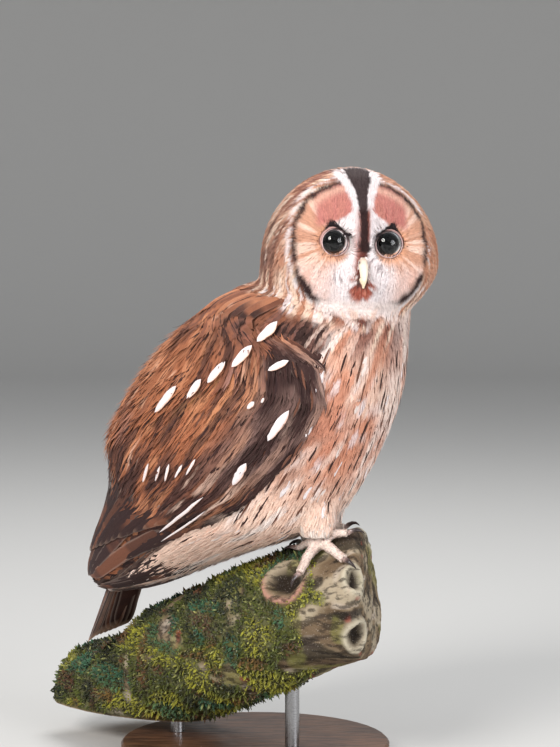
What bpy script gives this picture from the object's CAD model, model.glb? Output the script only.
"""Looks of the tawny owl model: skin, feathers, eyes, bill, claws, mossy branch and display stand.

Metres, +Z up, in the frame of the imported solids. Feathers end at the solids' surface, and the
skin lies below it by the coat's depth.
"""
import math

import bpy
import numpy as np
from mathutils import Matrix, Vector
from mathutils.bvhtree import BVHTree


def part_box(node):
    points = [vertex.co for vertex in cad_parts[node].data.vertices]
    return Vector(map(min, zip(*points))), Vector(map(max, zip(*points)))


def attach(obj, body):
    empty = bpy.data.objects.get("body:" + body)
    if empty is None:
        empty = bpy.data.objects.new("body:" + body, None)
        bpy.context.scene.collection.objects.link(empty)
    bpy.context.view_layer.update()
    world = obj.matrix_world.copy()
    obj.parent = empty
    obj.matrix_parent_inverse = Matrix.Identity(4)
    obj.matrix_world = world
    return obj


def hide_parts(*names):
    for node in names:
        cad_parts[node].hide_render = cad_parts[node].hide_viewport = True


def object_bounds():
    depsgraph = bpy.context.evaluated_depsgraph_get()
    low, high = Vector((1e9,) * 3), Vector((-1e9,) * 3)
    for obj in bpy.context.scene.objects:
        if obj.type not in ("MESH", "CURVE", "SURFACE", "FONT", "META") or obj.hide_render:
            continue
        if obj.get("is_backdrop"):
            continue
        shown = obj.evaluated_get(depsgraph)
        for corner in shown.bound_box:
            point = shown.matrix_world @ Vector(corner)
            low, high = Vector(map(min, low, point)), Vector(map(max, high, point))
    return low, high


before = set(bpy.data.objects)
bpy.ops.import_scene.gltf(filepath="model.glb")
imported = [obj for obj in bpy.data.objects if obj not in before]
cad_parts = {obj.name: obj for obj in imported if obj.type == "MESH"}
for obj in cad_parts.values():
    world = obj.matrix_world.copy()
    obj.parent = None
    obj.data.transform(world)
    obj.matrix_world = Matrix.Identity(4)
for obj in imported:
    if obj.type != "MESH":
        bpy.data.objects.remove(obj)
cad_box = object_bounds()
MM = 0.001
rng = np.random.default_rng(7)

# Directions of the body, and its leaning sections from the head's middle to the tail coverts:
# forward place, height, lean in degrees. Place 0 is the shoulders' section.
HEADING = math.radians(-30.0)
SPINE_FOOT = np.array((0.0, -0.0216, 0.0))
FORWARD = np.array((math.cos(HEADING), math.sin(HEADING), 0.0))
RIGHT = np.array((math.sin(HEADING), -math.cos(HEADING), 0.0))
UP = np.array((0.0, 0.0, 1.0))
SPINE = np.array((
    (0.0744, 0.3530, 11.0),
    (0.0626, 0.3297, 11.4),
    (0.0460, 0.3137, 11.5),
    (0.0274, 0.2810, 15.0),
    (0.0034, 0.2405, 16.0),
    (-0.0188, 0.2010, 14.0),
    (-0.0300, 0.1785, 10.0),
    (-0.0660, 0.1510, 6.5),
    (-0.0960, 0.1275, 8.5),
    (-0.1120, 0.1180, 12.0),
))
FIRST_PLACE = -2.0
LAST_PLACE = FIRST_PLACE + len(SPINE) - 1

# The head's own frame.
HEAD_FACING = HEADING - math.radians(51.0)
HEAD_ROLL = math.radians(2.5)
HEAD_CENTRE = SPINE_FOOT + FORWARD * 0.0744 + UP * 0.3530
_sideways = np.array((math.sin(HEAD_FACING), -math.cos(HEAD_FACING), 0.0))
HEAD_AHEAD = np.array((math.cos(HEAD_FACING), math.sin(HEAD_FACING), 0.0))
HEAD_ACROSS = _sideways * math.cos(HEAD_ROLL) + UP * math.sin(HEAD_ROLL)
HEAD_UP = UP * math.cos(HEAD_ROLL) - _sideways * math.sin(HEAD_ROLL)

EYE_ACROSS = 0.0180
EYE_FORWARD = 0.0352
EYE_UP = 0.0130
EYE_RADIUS = 0.0110
LID_OPENING = 0.0085
FACE_MIDDLE = (0.0, 0.0450, 0.0020)          # where the bill leaves the face

# Coat depths: how far the skin lies below the solids' surface.
BODY_COAT = 0.0060
HEAD_COAT = 0.0042
FACE_COAT = 0.0018
LEG_COAT = 0.0035
FOOT_COAT = 0.0004
BILL_ROOT_COAT = 0.0006
LID_COAT = 0.0002
SKIN_VOXEL = 0.0016
UNDERCOAT_SHADE = 0.72

# Colours, linear.
WHITE = (0.88, 0.79, 0.79)
CREAM = (0.90, 0.72, 0.60)
PALE_SALMON = (0.90, 0.60, 0.46)
SALMON = (0.56, 0.205, 0.175)
APRICOT = (0.82, 0.42, 0.24)
TAN = (0.84, 0.54, 0.38)
BROWN = (0.27, 0.110, 0.065)
UMBER = (0.095, 0.040, 0.030)
SOOT = (0.036, 0.018, 0.018)
BLACK = (0.016, 0.010, 0.012)
PALE_BUFF = (0.93, 0.80, 0.76)
WORN_EDGE = (0.80, 0.62, 0.52)

SIDES = (("right", 1), ("left", -1))


def unit(vectors):
    """Vectors of length one."""
    size = np.linalg.norm(vectors, axis=-1, keepdims=True)
    return vectors / np.maximum(size, 1e-9)


def tangential(vectors, normals):
    """The part of each vector that lies along the surface, at length one."""
    along = np.sum(vectors * normals, axis=-1, keepdims=True)
    return unit(vectors - normals * along)


def ramp(low, high, values):
    """0 at low, 1 at high, eased at both ends; low may be the greater."""
    share = np.clip((values - low) / (high - low), 0.0, 1.0)
    return share * share * (3.0 - 2.0 * share)


def hump(distance, spread):
    """1 in the middle, next to nothing beyond twice the spread."""
    return np.exp(-(distance / spread) ** 2)


def grain(points, size, seed=0):
    """Smooth random values from 0 to 1 over space, in lumps of about the given size."""
    scaled = np.asarray(points) / size
    cell = np.floor(scaled).astype(np.int64)
    part = scaled - cell
    part = part * part * (3.0 - 2.0 * part)
    total = np.zeros(len(scaled))
    for corner in np.ndindex(2, 2, 2):
        key = cell + np.array(corner)
        code = key[:, 0] * 374761393 + key[:, 1] * 668265263 + key[:, 2] * 1440662683
        code = code + seed * 1274126177
        code = (code ^ (code >> 13)) * 1274126177
        value = ((code ^ (code >> 16)) & 0xFFFF) / 65535.0
        total += value * np.prod(np.where(np.array(corner) == 1, part, 1.0 - part), axis=1)
    return total


def blend(first, second, amount):
    """Rows between the first ones and the second ones, by an amount from 0 to 1 for each."""
    return first + (second - first) * np.clip(amount, 0.0, 1.0)[:, None]


def paint(base, *layers):
    """Lay colours over a colour or colours; each is followed by its amount, from 0 to 1."""
    tint = np.array(base, dtype=float)
    for colour, amount in zip(layers[::2], layers[1::2]):
        tint = blend(tint, np.array(colour), amount)
    return tint


def plain(colour, count):
    return np.tile(np.array(colour, dtype=float), (count, 1))


# ---- places on the bird

def head_place(points):
    """Across to the bird's right, forward and up from the head's middle, in millimetres."""
    offset = (np.asarray(points) - HEAD_CENTRE) / MM
    return offset @ HEAD_ACROSS, offset @ HEAD_AHEAD, offset @ HEAD_UP


def head_point(across, forward, up):
    return HEAD_CENTRE + HEAD_ACROSS * across + HEAD_AHEAD * forward + HEAD_UP * up


def head_points(across, forward, up):
    """Points in the head's frame from arrays of its three measures."""
    return head_point(*(measure[..., None] for measure in np.broadcast_arrays(across, forward, up)))


def from_eye(a, u):
    """Millimetres from the nearer eye's middle, seen from in front."""
    return np.hypot(np.abs(a) - EYE_ACROSS / MM, u - EYE_UP / MM)


def section(place):
    """Middle, belly-wards direction and upward normal of the body's sections."""
    row = np.clip(np.asarray(place, dtype=float) - FIRST_PLACE, 0.0, len(SPINE) - 1.0)
    index = np.arange(len(SPINE))
    forward, height, lean = (np.interp(row, index, SPINE[:, k]) for k in range(3))
    lean = np.radians(lean)
    centre = SPINE_FOOT + forward[..., None] * FORWARD + height[..., None] * UP
    belly = np.cos(lean)[..., None] * FORWARD - np.sin(lean)[..., None] * UP
    normal = np.sin(lean)[..., None] * FORWARD + np.cos(lean)[..., None] * UP
    return centre, belly, normal


def body_place(points):
    """Place along the spine, and degrees round it from the belly, + to the bird's right."""
    points = np.asarray(points)
    steps = np.linspace(FIRST_PLACE, LAST_PLACE, 181)
    centre, _, normal = section(steps)
    place = np.empty(len(points))
    for start in range(0, len(points), 20000):
        some = points[start:start + 20000]
        above = some @ normal.T - np.sum(centre * normal, axis=1)
        place[start:start + 20000] = steps[np.argmin(np.abs(above), axis=1)]
    centre, belly, _ = section(place)
    offset = points - centre
    angle = np.degrees(np.arctan2(offset @ RIGHT, np.sum(offset * belly, axis=1)))
    return place, angle


SPINE_STEPS = np.hypot(np.diff(SPINE[:, 0]), np.diff(SPINE[:, 1]))
SPINE_RUN = np.concatenate(([0.0], np.cumsum(SPINE_STEPS)))
BODY_GIRTH = 0.075                 # the body's middling radius
SPLAY = 0.26                       # how far streaks move outwards on their way down
SPLAY_ANGLE = 12.0


def stretched_grain(run, length, arc, width, third, seed):
    """Smooth random values in streaks, from distances along and across them."""
    return grain(np.stack((run / length, arc / width, third + 0.0 * run), axis=1), 1.0, seed)


def spine_run(place):
    """Distance along the spine to a place on it."""
    return np.interp(place - FIRST_PLACE, np.arange(len(SPINE)), SPINE_RUN)


def streaks(points, length, width, seed):
    """Smooth random values in streaks that run along the body and a little outwards."""
    place, angle = body_place(points)
    run = spine_run(place)
    arc = np.radians(angle) * BODY_GIRTH - SPLAY * run * np.tanh(angle / SPLAY_ANGLE)
    return stretched_grain(run, length, arc, width, 0.0, seed)


HEAD_GIRTH = 0.055                 # the head's middling radius
CURL = 0.30                        # how far the streaks draw back on their way down the head


def head_streaks(points, length, width, seed):
    """Smooth random values in streaks that run from the crown down and back round the head."""
    a, f, u = head_place(points)
    down = np.abs(np.arctan2(a, u - 4.0))
    back = np.arctan2(np.hypot(a, u - 4.0), f)
    sides = stretched_grain(down * HEAD_GIRTH, length, (back - CURL * down) * HEAD_GIRTH, width,
                            np.sign(a) * 3.0, seed)
    # Behind they fall from the crown to the nape.
    falling = stretched_grain(u * MM, length, np.arctan2(a, -f) * HEAD_GIRTH, width, 0.0, seed)
    return sides + (falling - sides) * ramp(8.0, -14.0, f)


# The wing's lower edge: degrees round the body at places along it; its upper edge is WING_TOP.
WING_EDGE_PLACES = (0.2, 0.55, 1.2, 2.0, 2.9, 3.8, 4.6, 5.3, 6.0, 6.6)
WING_EDGE_ANGLES = (78.0, 54.0, 42.0, 45.0, 53.0, 65.0, 76.0, 79.0, 82.0, 88.0)
WING_TOP = 165.0
WING_GIRTH = 0.130                 # round the wing from its lower edge to its upper one
# Where the shoulder feathers end: share of the way up the wing at places along it.
BORDER_PLACES = (0.20, 0.70, 1.07, 1.43, 1.80, 2.35, 2.78)
BORDER_SHARES = (0.16, 0.33, 0.44, 0.51, 0.60, 0.70, 0.90)


def wing_edge(place):
    return np.interp(place, WING_EDGE_PLACES, WING_EDGE_ANGLES)


def shoulder_border(place):
    return np.interp(place, BORDER_PLACES, BORDER_SHARES)


def wing_angle(place, share):
    """Degrees round the body at a share from the wing's lower edge to its upper one."""
    low = wing_edge(place)
    return low + share * (WING_TOP - low)


def wing_share(place, angle):
    """Share of the way from the wing's lower edge to its upper one."""
    low = wing_edge(place)
    return (np.abs(angle) - low) / (WING_TOP - low)


def wing_flow(points):
    """Wing feathers keep their share of the way from the lower edge to the upper one."""
    place, angle = body_place(points)
    share = np.clip(wing_share(place, angle), -0.15, 1.1)
    ahead = place + 0.15
    middle, belly, _ = section(ahead)
    turn = np.radians(np.sign(angle) * wing_angle(ahead, share))[:, None]
    reach = np.linalg.norm(points - section(place)[0], axis=1)[:, None]
    return middle + (belly * np.cos(turn) + RIGHT * np.sin(turn)) * reach - points


def wing_streaks(points, length, width, seed):
    """Smooth random values in streaks that run along the wing's feathers."""
    place, angle = body_place(points)
    arc = wing_share(place, angle) * WING_GIRTH
    return stretched_grain(spine_run(place), length, arc, width, 2.0 * np.sign(angle), seed)


# ---- surfaces

class Form:
    """A surface that feathers are laid on."""

    def __init__(self, mesh):
        mesh.calc_loop_triangles()
        self.points = mesh_points(mesh)
        self.triangles = np.empty(len(mesh.loop_triangles) * 3, dtype=np.int32)
        mesh.loop_triangles.foreach_get("vertices", self.triangles)
        self.triangles = self.triangles.reshape(-1, 3)
        a, b, c = (self.points[self.triangles[:, k]] for k in range(3))
        cross = np.cross(b - a, c - a)
        self.areas = np.linalg.norm(cross, axis=1) / 2
        normals = np.zeros_like(self.points)
        for k in range(3):
            np.add.at(normals, self.triangles[:, k], cross)
        self.normals = unit(normals)
        self.middles = (a + b + c) / 3
        self.tree = BVHTree.FromPolygons(self.points.tolist(), self.triangles.tolist())

    def nearest(self, points):
        """The nearest places on the surface, with its smoothed normals."""
        spots = np.empty((len(points), 3))
        faces = np.empty(len(points), dtype=np.int64)
        find = self.tree.find_nearest
        for i, point in enumerate(points):
            spot, _, face, _ = find(point)
            spots[i] = spot
            faces[i] = face
        return spots, unit(self.normals[self.triangles[faces]].sum(axis=1))

    def at(self, places, angles):
        """Places on the surface at body places and angles, seen from outside."""
        centre, belly, _ = section(places)
        turn = np.radians(angles)[:, None]
        out = belly * np.cos(turn) + RIGHT * np.sin(turn)
        spots = np.empty((len(places), 3))
        for i in range(len(places)):
            start = Vector(centre[i] + out[i] * 0.16)
            spot = self.tree.ray_cast(start, Vector(-out[i]))[0]
            spots[i] = spot if spot else centre[i] + out[i] * 0.02
        return self.nearest(spots)

    def scatter(self, wanted, spacing):
        """Random places about evenly spaced over the wanted faces."""
        faces = np.flatnonzero(wanted)
        areas = self.areas[faces]
        count = int(areas.sum() / spacing ** 2 * 5)
        chosen = faces[rng.choice(len(faces), count, p=areas / areas.sum())]
        u, v = rng.random((2, count))
        flip = u + v > 1
        u[flip], v[flip] = 1 - u[flip], 1 - v[flip]
        a, b, c = (self.points[self.triangles[chosen, k]] for k in range(3))
        spots = a + (b - a) * u[:, None] + (c - a) * v[:, None]
        cells = np.floor(spots / (spacing * 1.05)).astype(np.int64)
        _, first = np.unique(cells, axis=0, return_index=True)
        return spots[np.sort(first)]


def gathered(nodes):
    """Points and faces of the nodes' meshes, and each face's place in the list of nodes."""
    points, faces, owners = [], [], []
    for index, name in enumerate(nodes):
        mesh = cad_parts[name].data
        start = len(points)
        points += [tuple(vertex.co) for vertex in mesh.vertices]
        faces += [[start + corner for corner in face.vertices] for face in mesh.polygons]
        owners += [index] * len(mesh.polygons)
    return points, faces, owners


def joined(nodes):
    """One mesh with copies of the nodes' meshes."""
    points, faces, _ = gathered(nodes)
    made = bpy.data.meshes.new("joined")
    made.from_pydata(points, [], faces)
    return made


def remeshed(mesh, voxel, smoothing):
    """The mesh remade in even small faces."""
    holder = add_object("remesh", mesh)
    grid = holder.modifiers.new("grid", "REMESH")
    grid.mode = "VOXEL"
    grid.voxel_size = voxel
    if smoothing:
        soften = holder.modifiers.new("soften", "SMOOTH")
        soften.iterations = smoothing
    ready = holder.evaluated_get(bpy.context.evaluated_depsgraph_get())
    made = bpy.data.meshes.new_from_object(ready)
    bpy.data.objects.remove(holder, do_unlink=True)
    made.shade_smooth()
    return made


def mesh_points(mesh):
    points = np.empty(len(mesh.vertices) * 3)
    mesh.vertices.foreach_get("co", points)
    return points.reshape(-1, 3)


def mesh_normals(mesh):
    normals = np.empty(len(mesh.vertices) * 3, dtype=np.float32)
    mesh.vertex_normals.foreach_get("vector", normals)
    return normals.reshape(-1, 3).astype(float)


def move_points(mesh, points):
    mesh.vertices.foreach_set("co", points.ravel())
    mesh.update()


def build_mesh(name, points, quads, triangles=np.empty((0, 3), dtype=int)):
    """A mesh from arrays of points, four-sided and three-sided faces."""
    made = bpy.data.meshes.new(name)
    loops = np.concatenate((quads.ravel(), triangles.ravel())).astype(np.int32)
    sizes = np.concatenate((np.full(len(quads), 4), np.full(len(triangles), 3)))
    made.vertices.add(len(points))
    made.vertices.foreach_set("co", points.ravel())
    made.loops.add(len(loops))
    made.loops.foreach_set("vertex_index", loops)
    made.polygons.add(len(sizes))
    made.polygons.foreach_set("loop_start", (np.cumsum(sizes) - sizes).astype(np.int32))
    made.update(calc_edges=True)
    made.shade_smooth()
    return made


def ring_quads(index, turned=False):
    """Four-sided faces between rows of points closed into rings; turned, they face the other way."""
    after = np.roll(index, -1, axis=1)
    corners = (index[:-1], after[:-1], after[1:], index[1:])
    if turned:
        corners = (index[:-1], index[1:], after[1:], after[:-1])
    return np.stack(corners, axis=-1).reshape(-1, 4)


def set_tint(mesh, colours):
    """Colours of the mesh's points, as an attribute for the materials."""
    full = np.ones((len(colours), 4), dtype=np.float32)
    full[:, :3] = colours
    mesh.attributes.new("tint", "FLOAT_COLOR", "POINT").data.foreach_set("color", full.ravel())


def add_object(name, data):
    made = bpy.data.objects.new(name, data)
    bpy.context.scene.collection.objects.link(made)
    return made


def place_piece(name, mesh, material, slot, *nodes):
    """Put a finished piece into the scene, riding with the bird."""
    made = add_object(name, mesh)
    mesh.materials.clear()
    mesh.materials.append(material)
    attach(made, "root")
    if nodes:
        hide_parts(*nodes)


# ---- materials

class Nodes:
    """Short ways of adding shader nodes to a new material."""

    def __init__(self, name, roughness=0.5, **values):
        self.material = bpy.data.materials.new(name)
        self.material.use_nodes = True
        self.tree = self.material.node_tree
        self.shader = self.tree.nodes["Principled BSDF"]
        self.shader.inputs["Roughness"].default_value = roughness
        for key, value in values.items():
            self.shader.inputs[key.replace("_", " ")].default_value = value

    def add(self, kind, **settings):
        node = self.tree.nodes.new("ShaderNode" + kind)
        for key, value in settings.items():
            setattr(node, key, value)
        return node

    def link(self, source, target):
        self.tree.links.new(source, target)

    def feed(self, socket, value):
        """Link a socket to another one, or set it to a number or colour."""
        if isinstance(value, bpy.types.NodeSocket):
            self.link(value, socket)
        elif isinstance(value, (int, float)):
            socket.default_value = value
        else:
            socket.default_value = (*value, 1.0)

    def math(self, operation, first, second=0.0, third=0.0):
        node = self.add("Math", operation=operation)
        for socket, value in zip(node.inputs, (first, second, third)):
            self.feed(socket, value)
        return node.outputs[0]

    def step(self, value, low, high, start=0.0, end=1.0):
        """An eased step of a value between low and high."""
        node = self.add("MapRange", interpolation_type="SMOOTHSTEP")
        self.link(value, node.inputs["Value"])
        for key, number in (("From Min", low), ("From Max", high), ("To Min", start), ("To Max", end)):
            node.inputs[key].default_value = number
        return node.outputs["Result"]

    def mix(self, amount, first, second, blend="MIX"):
        node = self.add("Mix", data_type="RGBA", blend_type=blend)
        self.feed(node.inputs["Factor"], amount)
        self.feed(node.inputs[6], first)
        self.feed(node.inputs[7], second)
        return node.outputs[2]

    def tint(self):
        return self.add("Attribute", attribute_name="tint").outputs["Color"]

    def parts(self, name):
        """The three parts of a vector attribute."""
        split = self.add("SeparateXYZ")
        self.link(self.add("Attribute", attribute_name=name).outputs["Vector"], split.inputs[0])
        return split.outputs

    def where(self):
        return self.add("TexCoord").outputs["Object"]

    def stretched(self, scale, turn=(0.0, 0.0, 0.0)):
        node = self.add("Mapping")
        self.link(self.where(), node.inputs["Vector"])
        node.inputs["Rotation"].default_value = [math.radians(degrees) for degrees in turn]
        node.inputs["Scale"].default_value = scale
        return node.outputs["Vector"]

    def darkened(self, colour, dark, strength, value, low, high):
        """The colour, mixed with a darker one where a value passes from low to high."""
        return self.mix(self.step(value, low, high), colour, self.mix(strength, colour, dark))

    def noise(self, scale, detail=2.0, where=None):
        node = self.add("TexNoise")
        node.inputs["Scale"].default_value = scale
        node.inputs["Detail"].default_value = detail
        self.link(where or self.where(), node.inputs["Vector"])
        return node.outputs["Fac"]

    def finish(self, colour, bump=None, depth=0.0002, strength=0.5, roughness=None):
        self.link(colour, self.shader.inputs["Base Color"])
        if roughness:
            self.link(roughness, self.shader.inputs["Roughness"])
        if bump:
            node = self.add("Bump")
            node.inputs["Strength"].default_value = strength
            node.inputs["Distance"].default_value = depth
            self.link(bump, node.inputs["Height"])
            self.link(node.outputs["Normal"], self.shader.inputs["Normal"])
        return self.material


def feather_material(name, barbs, roughness=0.78):
    """Vanes: a shaft, a dark streak or bars, fine barbs and worn, paler edges.

    The attribute vane holds the share along, the place across from -1 to 1 and the dark streak's
    half width. tint is the ground colour, and bars holds the number of cross bars, their
    strength and the pale edge's strength.
    """
    made = Nodes(name, roughness, Specular_IOR_Level=0.15, Sheen_Weight=0.04, Sheen_Roughness=0.5)
    along, across, width = made.parts("vane")
    side = made.math("ABSOLUTE", across)
    count, bar_strength, pale_edge = made.parts("bars")
    speckle = made.noise(900.0, 3.0)
    broad = made.noise(220.0, 2.0)
    # Markings follow the shaft and fray towards the edges.
    frayed = made.math("MULTIPLY_ADD", made.math("SUBTRACT", broad, 0.5), 0.5, side)
    over = made.math("SUBTRACT", width, frayed)
    streak = made.math("MULTIPLY", made.step(over, -0.12, 0.10), made.step(along, 0.02, 0.30))
    streak = made.math("MULTIPLY", streak, made.step(width, 0.0, 0.05))
    wave = made.math("MULTIPLY_ADD", side, -0.35, made.math("MULTIPLY", along, count))
    wave = made.math("MULTIPLY_ADD", broad, 0.5, wave)
    wave = made.math("SINE", made.math("MULTIPLY", wave, 2 * math.pi))
    bar = made.math("MULTIPLY", made.step(wave, -0.2, 0.5), bar_strength)
    colour = made.mix(made.math("MAXIMUM", streak, bar), made.tint(), SOOT)
    edge = made.math("MULTIPLY", made.step(side, 0.70, 0.98), pale_edge)
    colour = made.mix(edge, colour, WORN_EDGE)
    # Barbs slant from the shaft to the edge.
    barb = made.math("MULTIPLY_ADD", side, -8.0, made.math("MULTIPLY", along, barbs))
    barb = made.math("MULTIPLY_ADD", speckle, 1.2, barb)
    barb = made.math("SINE", made.math("MULTIPLY", barb, 2 * math.pi))
    shade = made.math("MULTIPLY_ADD", barb, 0.05, 1.0)
    shade = made.math("MULTIPLY", shade, made.step(speckle, 0.25, 0.75, 0.92, 1.06))
    grey = made.add("CombineColor")
    for socket in grey.inputs:
        made.link(shade, socket)
    colour = made.mix(1.0, colour, grey.outputs[0], "MULTIPLY")
    shaft = made.step(side, 0.14, 0.02)
    height = made.math("MULTIPLY_ADD", shaft, 1.2, made.math("MULTIPLY", barb, 0.35))
    return made.finish(colour, height, 0.00020, 0.4)


def flesh_material(name, roughness, bump_scale, depth, mottling=0.35, **values):
    """Skin or horn: the painted tint with fine mottling and small creases."""
    made = Nodes(name, roughness, **values)
    speckle = made.noise(700.0, 3.0)
    colour = made.darkened(made.tint(), (0.10, 0.04, 0.03), mottling, speckle, 0.62, 0.36)
    return made.finish(colour, made.noise(bump_scale, 4.0), depth, 0.6)


def bark_material():
    """Bark, lichen and moss; the painted tint holds where each of them grows."""
    made = Nodes("bark", 0.88, Specular_IOR_Level=0.2)
    tint = made.tint()
    ridges = made.noise(260.0, 6.0, made.stretched((0.35, 1.0, 1.0), (0.0, 25.0, 12.0)))
    grit = made.noise(1100.0, 3.0)
    colour = made.darkened(tint, (0.018, 0.013, 0.010), 0.72, ridges, 0.52, 0.38)
    light = made.mix(0.45, tint, (0.50, 0.44, 0.38))
    colour = made.mix(made.step(grit, 0.60, 0.74), colour, light)
    height = made.math("MULTIPLY_ADD", grit, 0.3, ridges)
    return made.finish(colour, height, 0.0012, 0.9)


def moss_material():
    """Moss leaflets: the painted tint, brighter towards their tips."""
    made = Nodes("moss", 0.82, Specular_IOR_Level=0.2, Sheen_Weight=0.25)
    speckle = made.noise(1500.0, 2.0)
    colour = made.darkened(made.tint(), (0.008, 0.012, 0.003), 0.55, speckle, 0.60, 0.35)
    return made.finish(colour, speckle, 0.0002, 0.4)


def wood_material():
    """Stained, waxed hardwood with straight grain."""
    made = Nodes("stand_wood", 0.38, Coat_Weight=0.25, Coat_Roughness=0.22)
    where = made.stretched((0.12, 1.0, 1.0))
    lines = made.noise(240.0, 5.0, where)
    pores = made.noise(900.0, 2.0, where)
    colour = made.mix(made.step(lines, 0.36, 0.64), (0.050, 0.020, 0.010), (0.155, 0.070, 0.034))
    colour = made.mix(made.step(pores, 0.64, 0.72), colour, (0.030, 0.012, 0.007))
    return made.finish(colour, lines, 0.0002, 0.25, made.step(pores, 0.3, 0.7, 0.30, 0.46))


def steel_material():
    """Brushed steel rod."""
    made = Nodes("stand_steel", 0.3, Metallic=1.0)
    lines = made.noise(300.0, 3.0, made.stretched((1.0, 1.0, 12.0)))
    colour = made.mix(lines, (0.30, 0.30, 0.31), (0.46, 0.46, 0.47))
    return made.finish(colour, lines, 0.0001, 0.2, made.step(lines, 0.3, 0.7, 0.24, 0.38))


# ---- markings

# The white fans: half width in millimetres at heights above the head's middle.
FAN_UP = (-24.0, -10.0, -3.0, 5.0, 13.0, 18.0, 22.0, 26.0, 30.0, 34.0, 38.0, 42.0)
FAN_HALF = (13.0, 19.0, 15.0, 10.0, 9.5, 11.5, 17.0, 17.5, 11.5, 7.0, 4.6, 4.0)
# The dark stripe down the forehead, widening to a patch on the crown.
STRIPE_UP = (6.0, 9.0, 12.0, 15.0, 24.0, 32.0, 41.0, 49.0, 56.0, 62.0)
STRIPE_HALF = (1.0, 5.0, 3.6, 2.4, 2.4, 2.6, 3.3, 4.8, 8.2, 8.6)
# The rust patch under the bill, in the same way.
RUST_UP = (-29.0, -25.0, -21.0, -17.0, -13.0, -9.0)
RUST_HALF = (0.0, 5.0, 8.0, 10.0, 8.0, 4.0)
RIM_MIDDLE_UP = 10.0
RIM_HALF_WIDTH = 44.0
RIM_HALF_HEIGHT = 42.5
RIM_POWER = 2.3
# Where the head's ruff ends on the neck: heights at millimetres across to the bird's right.
RUFF_ACROSS = (-60.0, -45.0, -28.0, 0.0, 20.0, 45.0, 57.0, 69.0)
RUFF_UP = (-20.0, -27.0, -37.0, -41.5, -40.5, -34.0, -28.0, -17.0)
# Where the mantle starts behind the breast: degrees from the belly at places along the body.
MANTLE_PLACES = (-1.0, 0.2, 0.7, 1.1)
MANTLE_ANGLES = (50.0, 54.0, 60.0, 112.0)
# Broad white strokes on the breast: place and degrees from the belly.
PALE_STROKES = ((1.33, 29.0), (0.86, 38.0), (1.13, 19.0), (1.62, 16.0), (2.59, 22.0), (2.05, 30.0))


def wedge_top(side):
    """Height of the black wedge's upper edge over the eye: it rises outwards."""
    return 19.1 + 0.723 * (side - 10.0)


def wedge_end(side):
    """Height of the wedge's outer end, which drops steeply."""
    return 26.0 - 1.97 * (side - 22.4)


def rim_reach(a, u):
    """Distance from the face's middle, 1 on the rim of the facial disc."""
    across = (np.abs(a) / RIM_HALF_WIDTH) ** RIM_POWER
    along = (np.abs(u - RIM_MIDDLE_UP) / RIM_HALF_HEIGHT) ** RIM_POWER
    return (across + along) ** (1.0 / RIM_POWER)


def side_colours(points, a, f, u, streak, thin):
    """Sides and back of the head: orange-tan with dark and pale streaks swept down and back."""
    broad = head_streaks(points, 0.026, 0.0100, 2)
    right = ramp(-6.0, 6.0, a)
    flank = hump(f - 8.0, 22.0) * hump(u - 6.0, 32.0) * ramp(24.0, 42.0, a)
    back = ramp(8.0, -22.0, f)
    low = ramp(0.0, -24.0, u) * ramp(-14.0, 12.0, f)
    return paint(
        (0.58, 0.27, 0.165),
        (0.74, 0.43, 0.29), ramp(0.42, 0.70, broad) * 0.8,
        (0.88, 0.68, 0.54), ramp(0.62, 0.78, streak) * (0.25 + 0.6 * right),
        (0.34, 0.13, 0.08), ramp(0.42, 0.26, streak) * (0.25 + 0.6 * right),
        (0.26, 0.09, 0.07), right * ramp(30.0, 50.0, u) * ramp(0.55, 0.40, streak) * 0.7,
        (0.19, 0.095, 0.075), flank * (0.50 + 0.5 * ramp(0.62, 0.42, streak)),
        (0.07, 0.035, 0.03), flank * ramp(0.34, 0.24, thin) * 0.8,
        CREAM, flank * ramp(0.76, 0.86, thin) * 0.6,
        (0.44, 0.17, 0.085), back * 0.7,
        UMBER, back * ramp(0.46, 0.32, streak) * 0.85,
        CREAM, back * ramp(0.76, 0.86, thin) * 0.7,
        (0.88, 0.66, 0.52), low * ramp(0.40, 0.58, streak) * 0.8,
        WHITE, low * ramp(0.66, 0.78, thin) * 0.8,
        (0.22, 0.10, 0.07), low * ramp(0.30, 0.20, thin) * 0.8)


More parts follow.
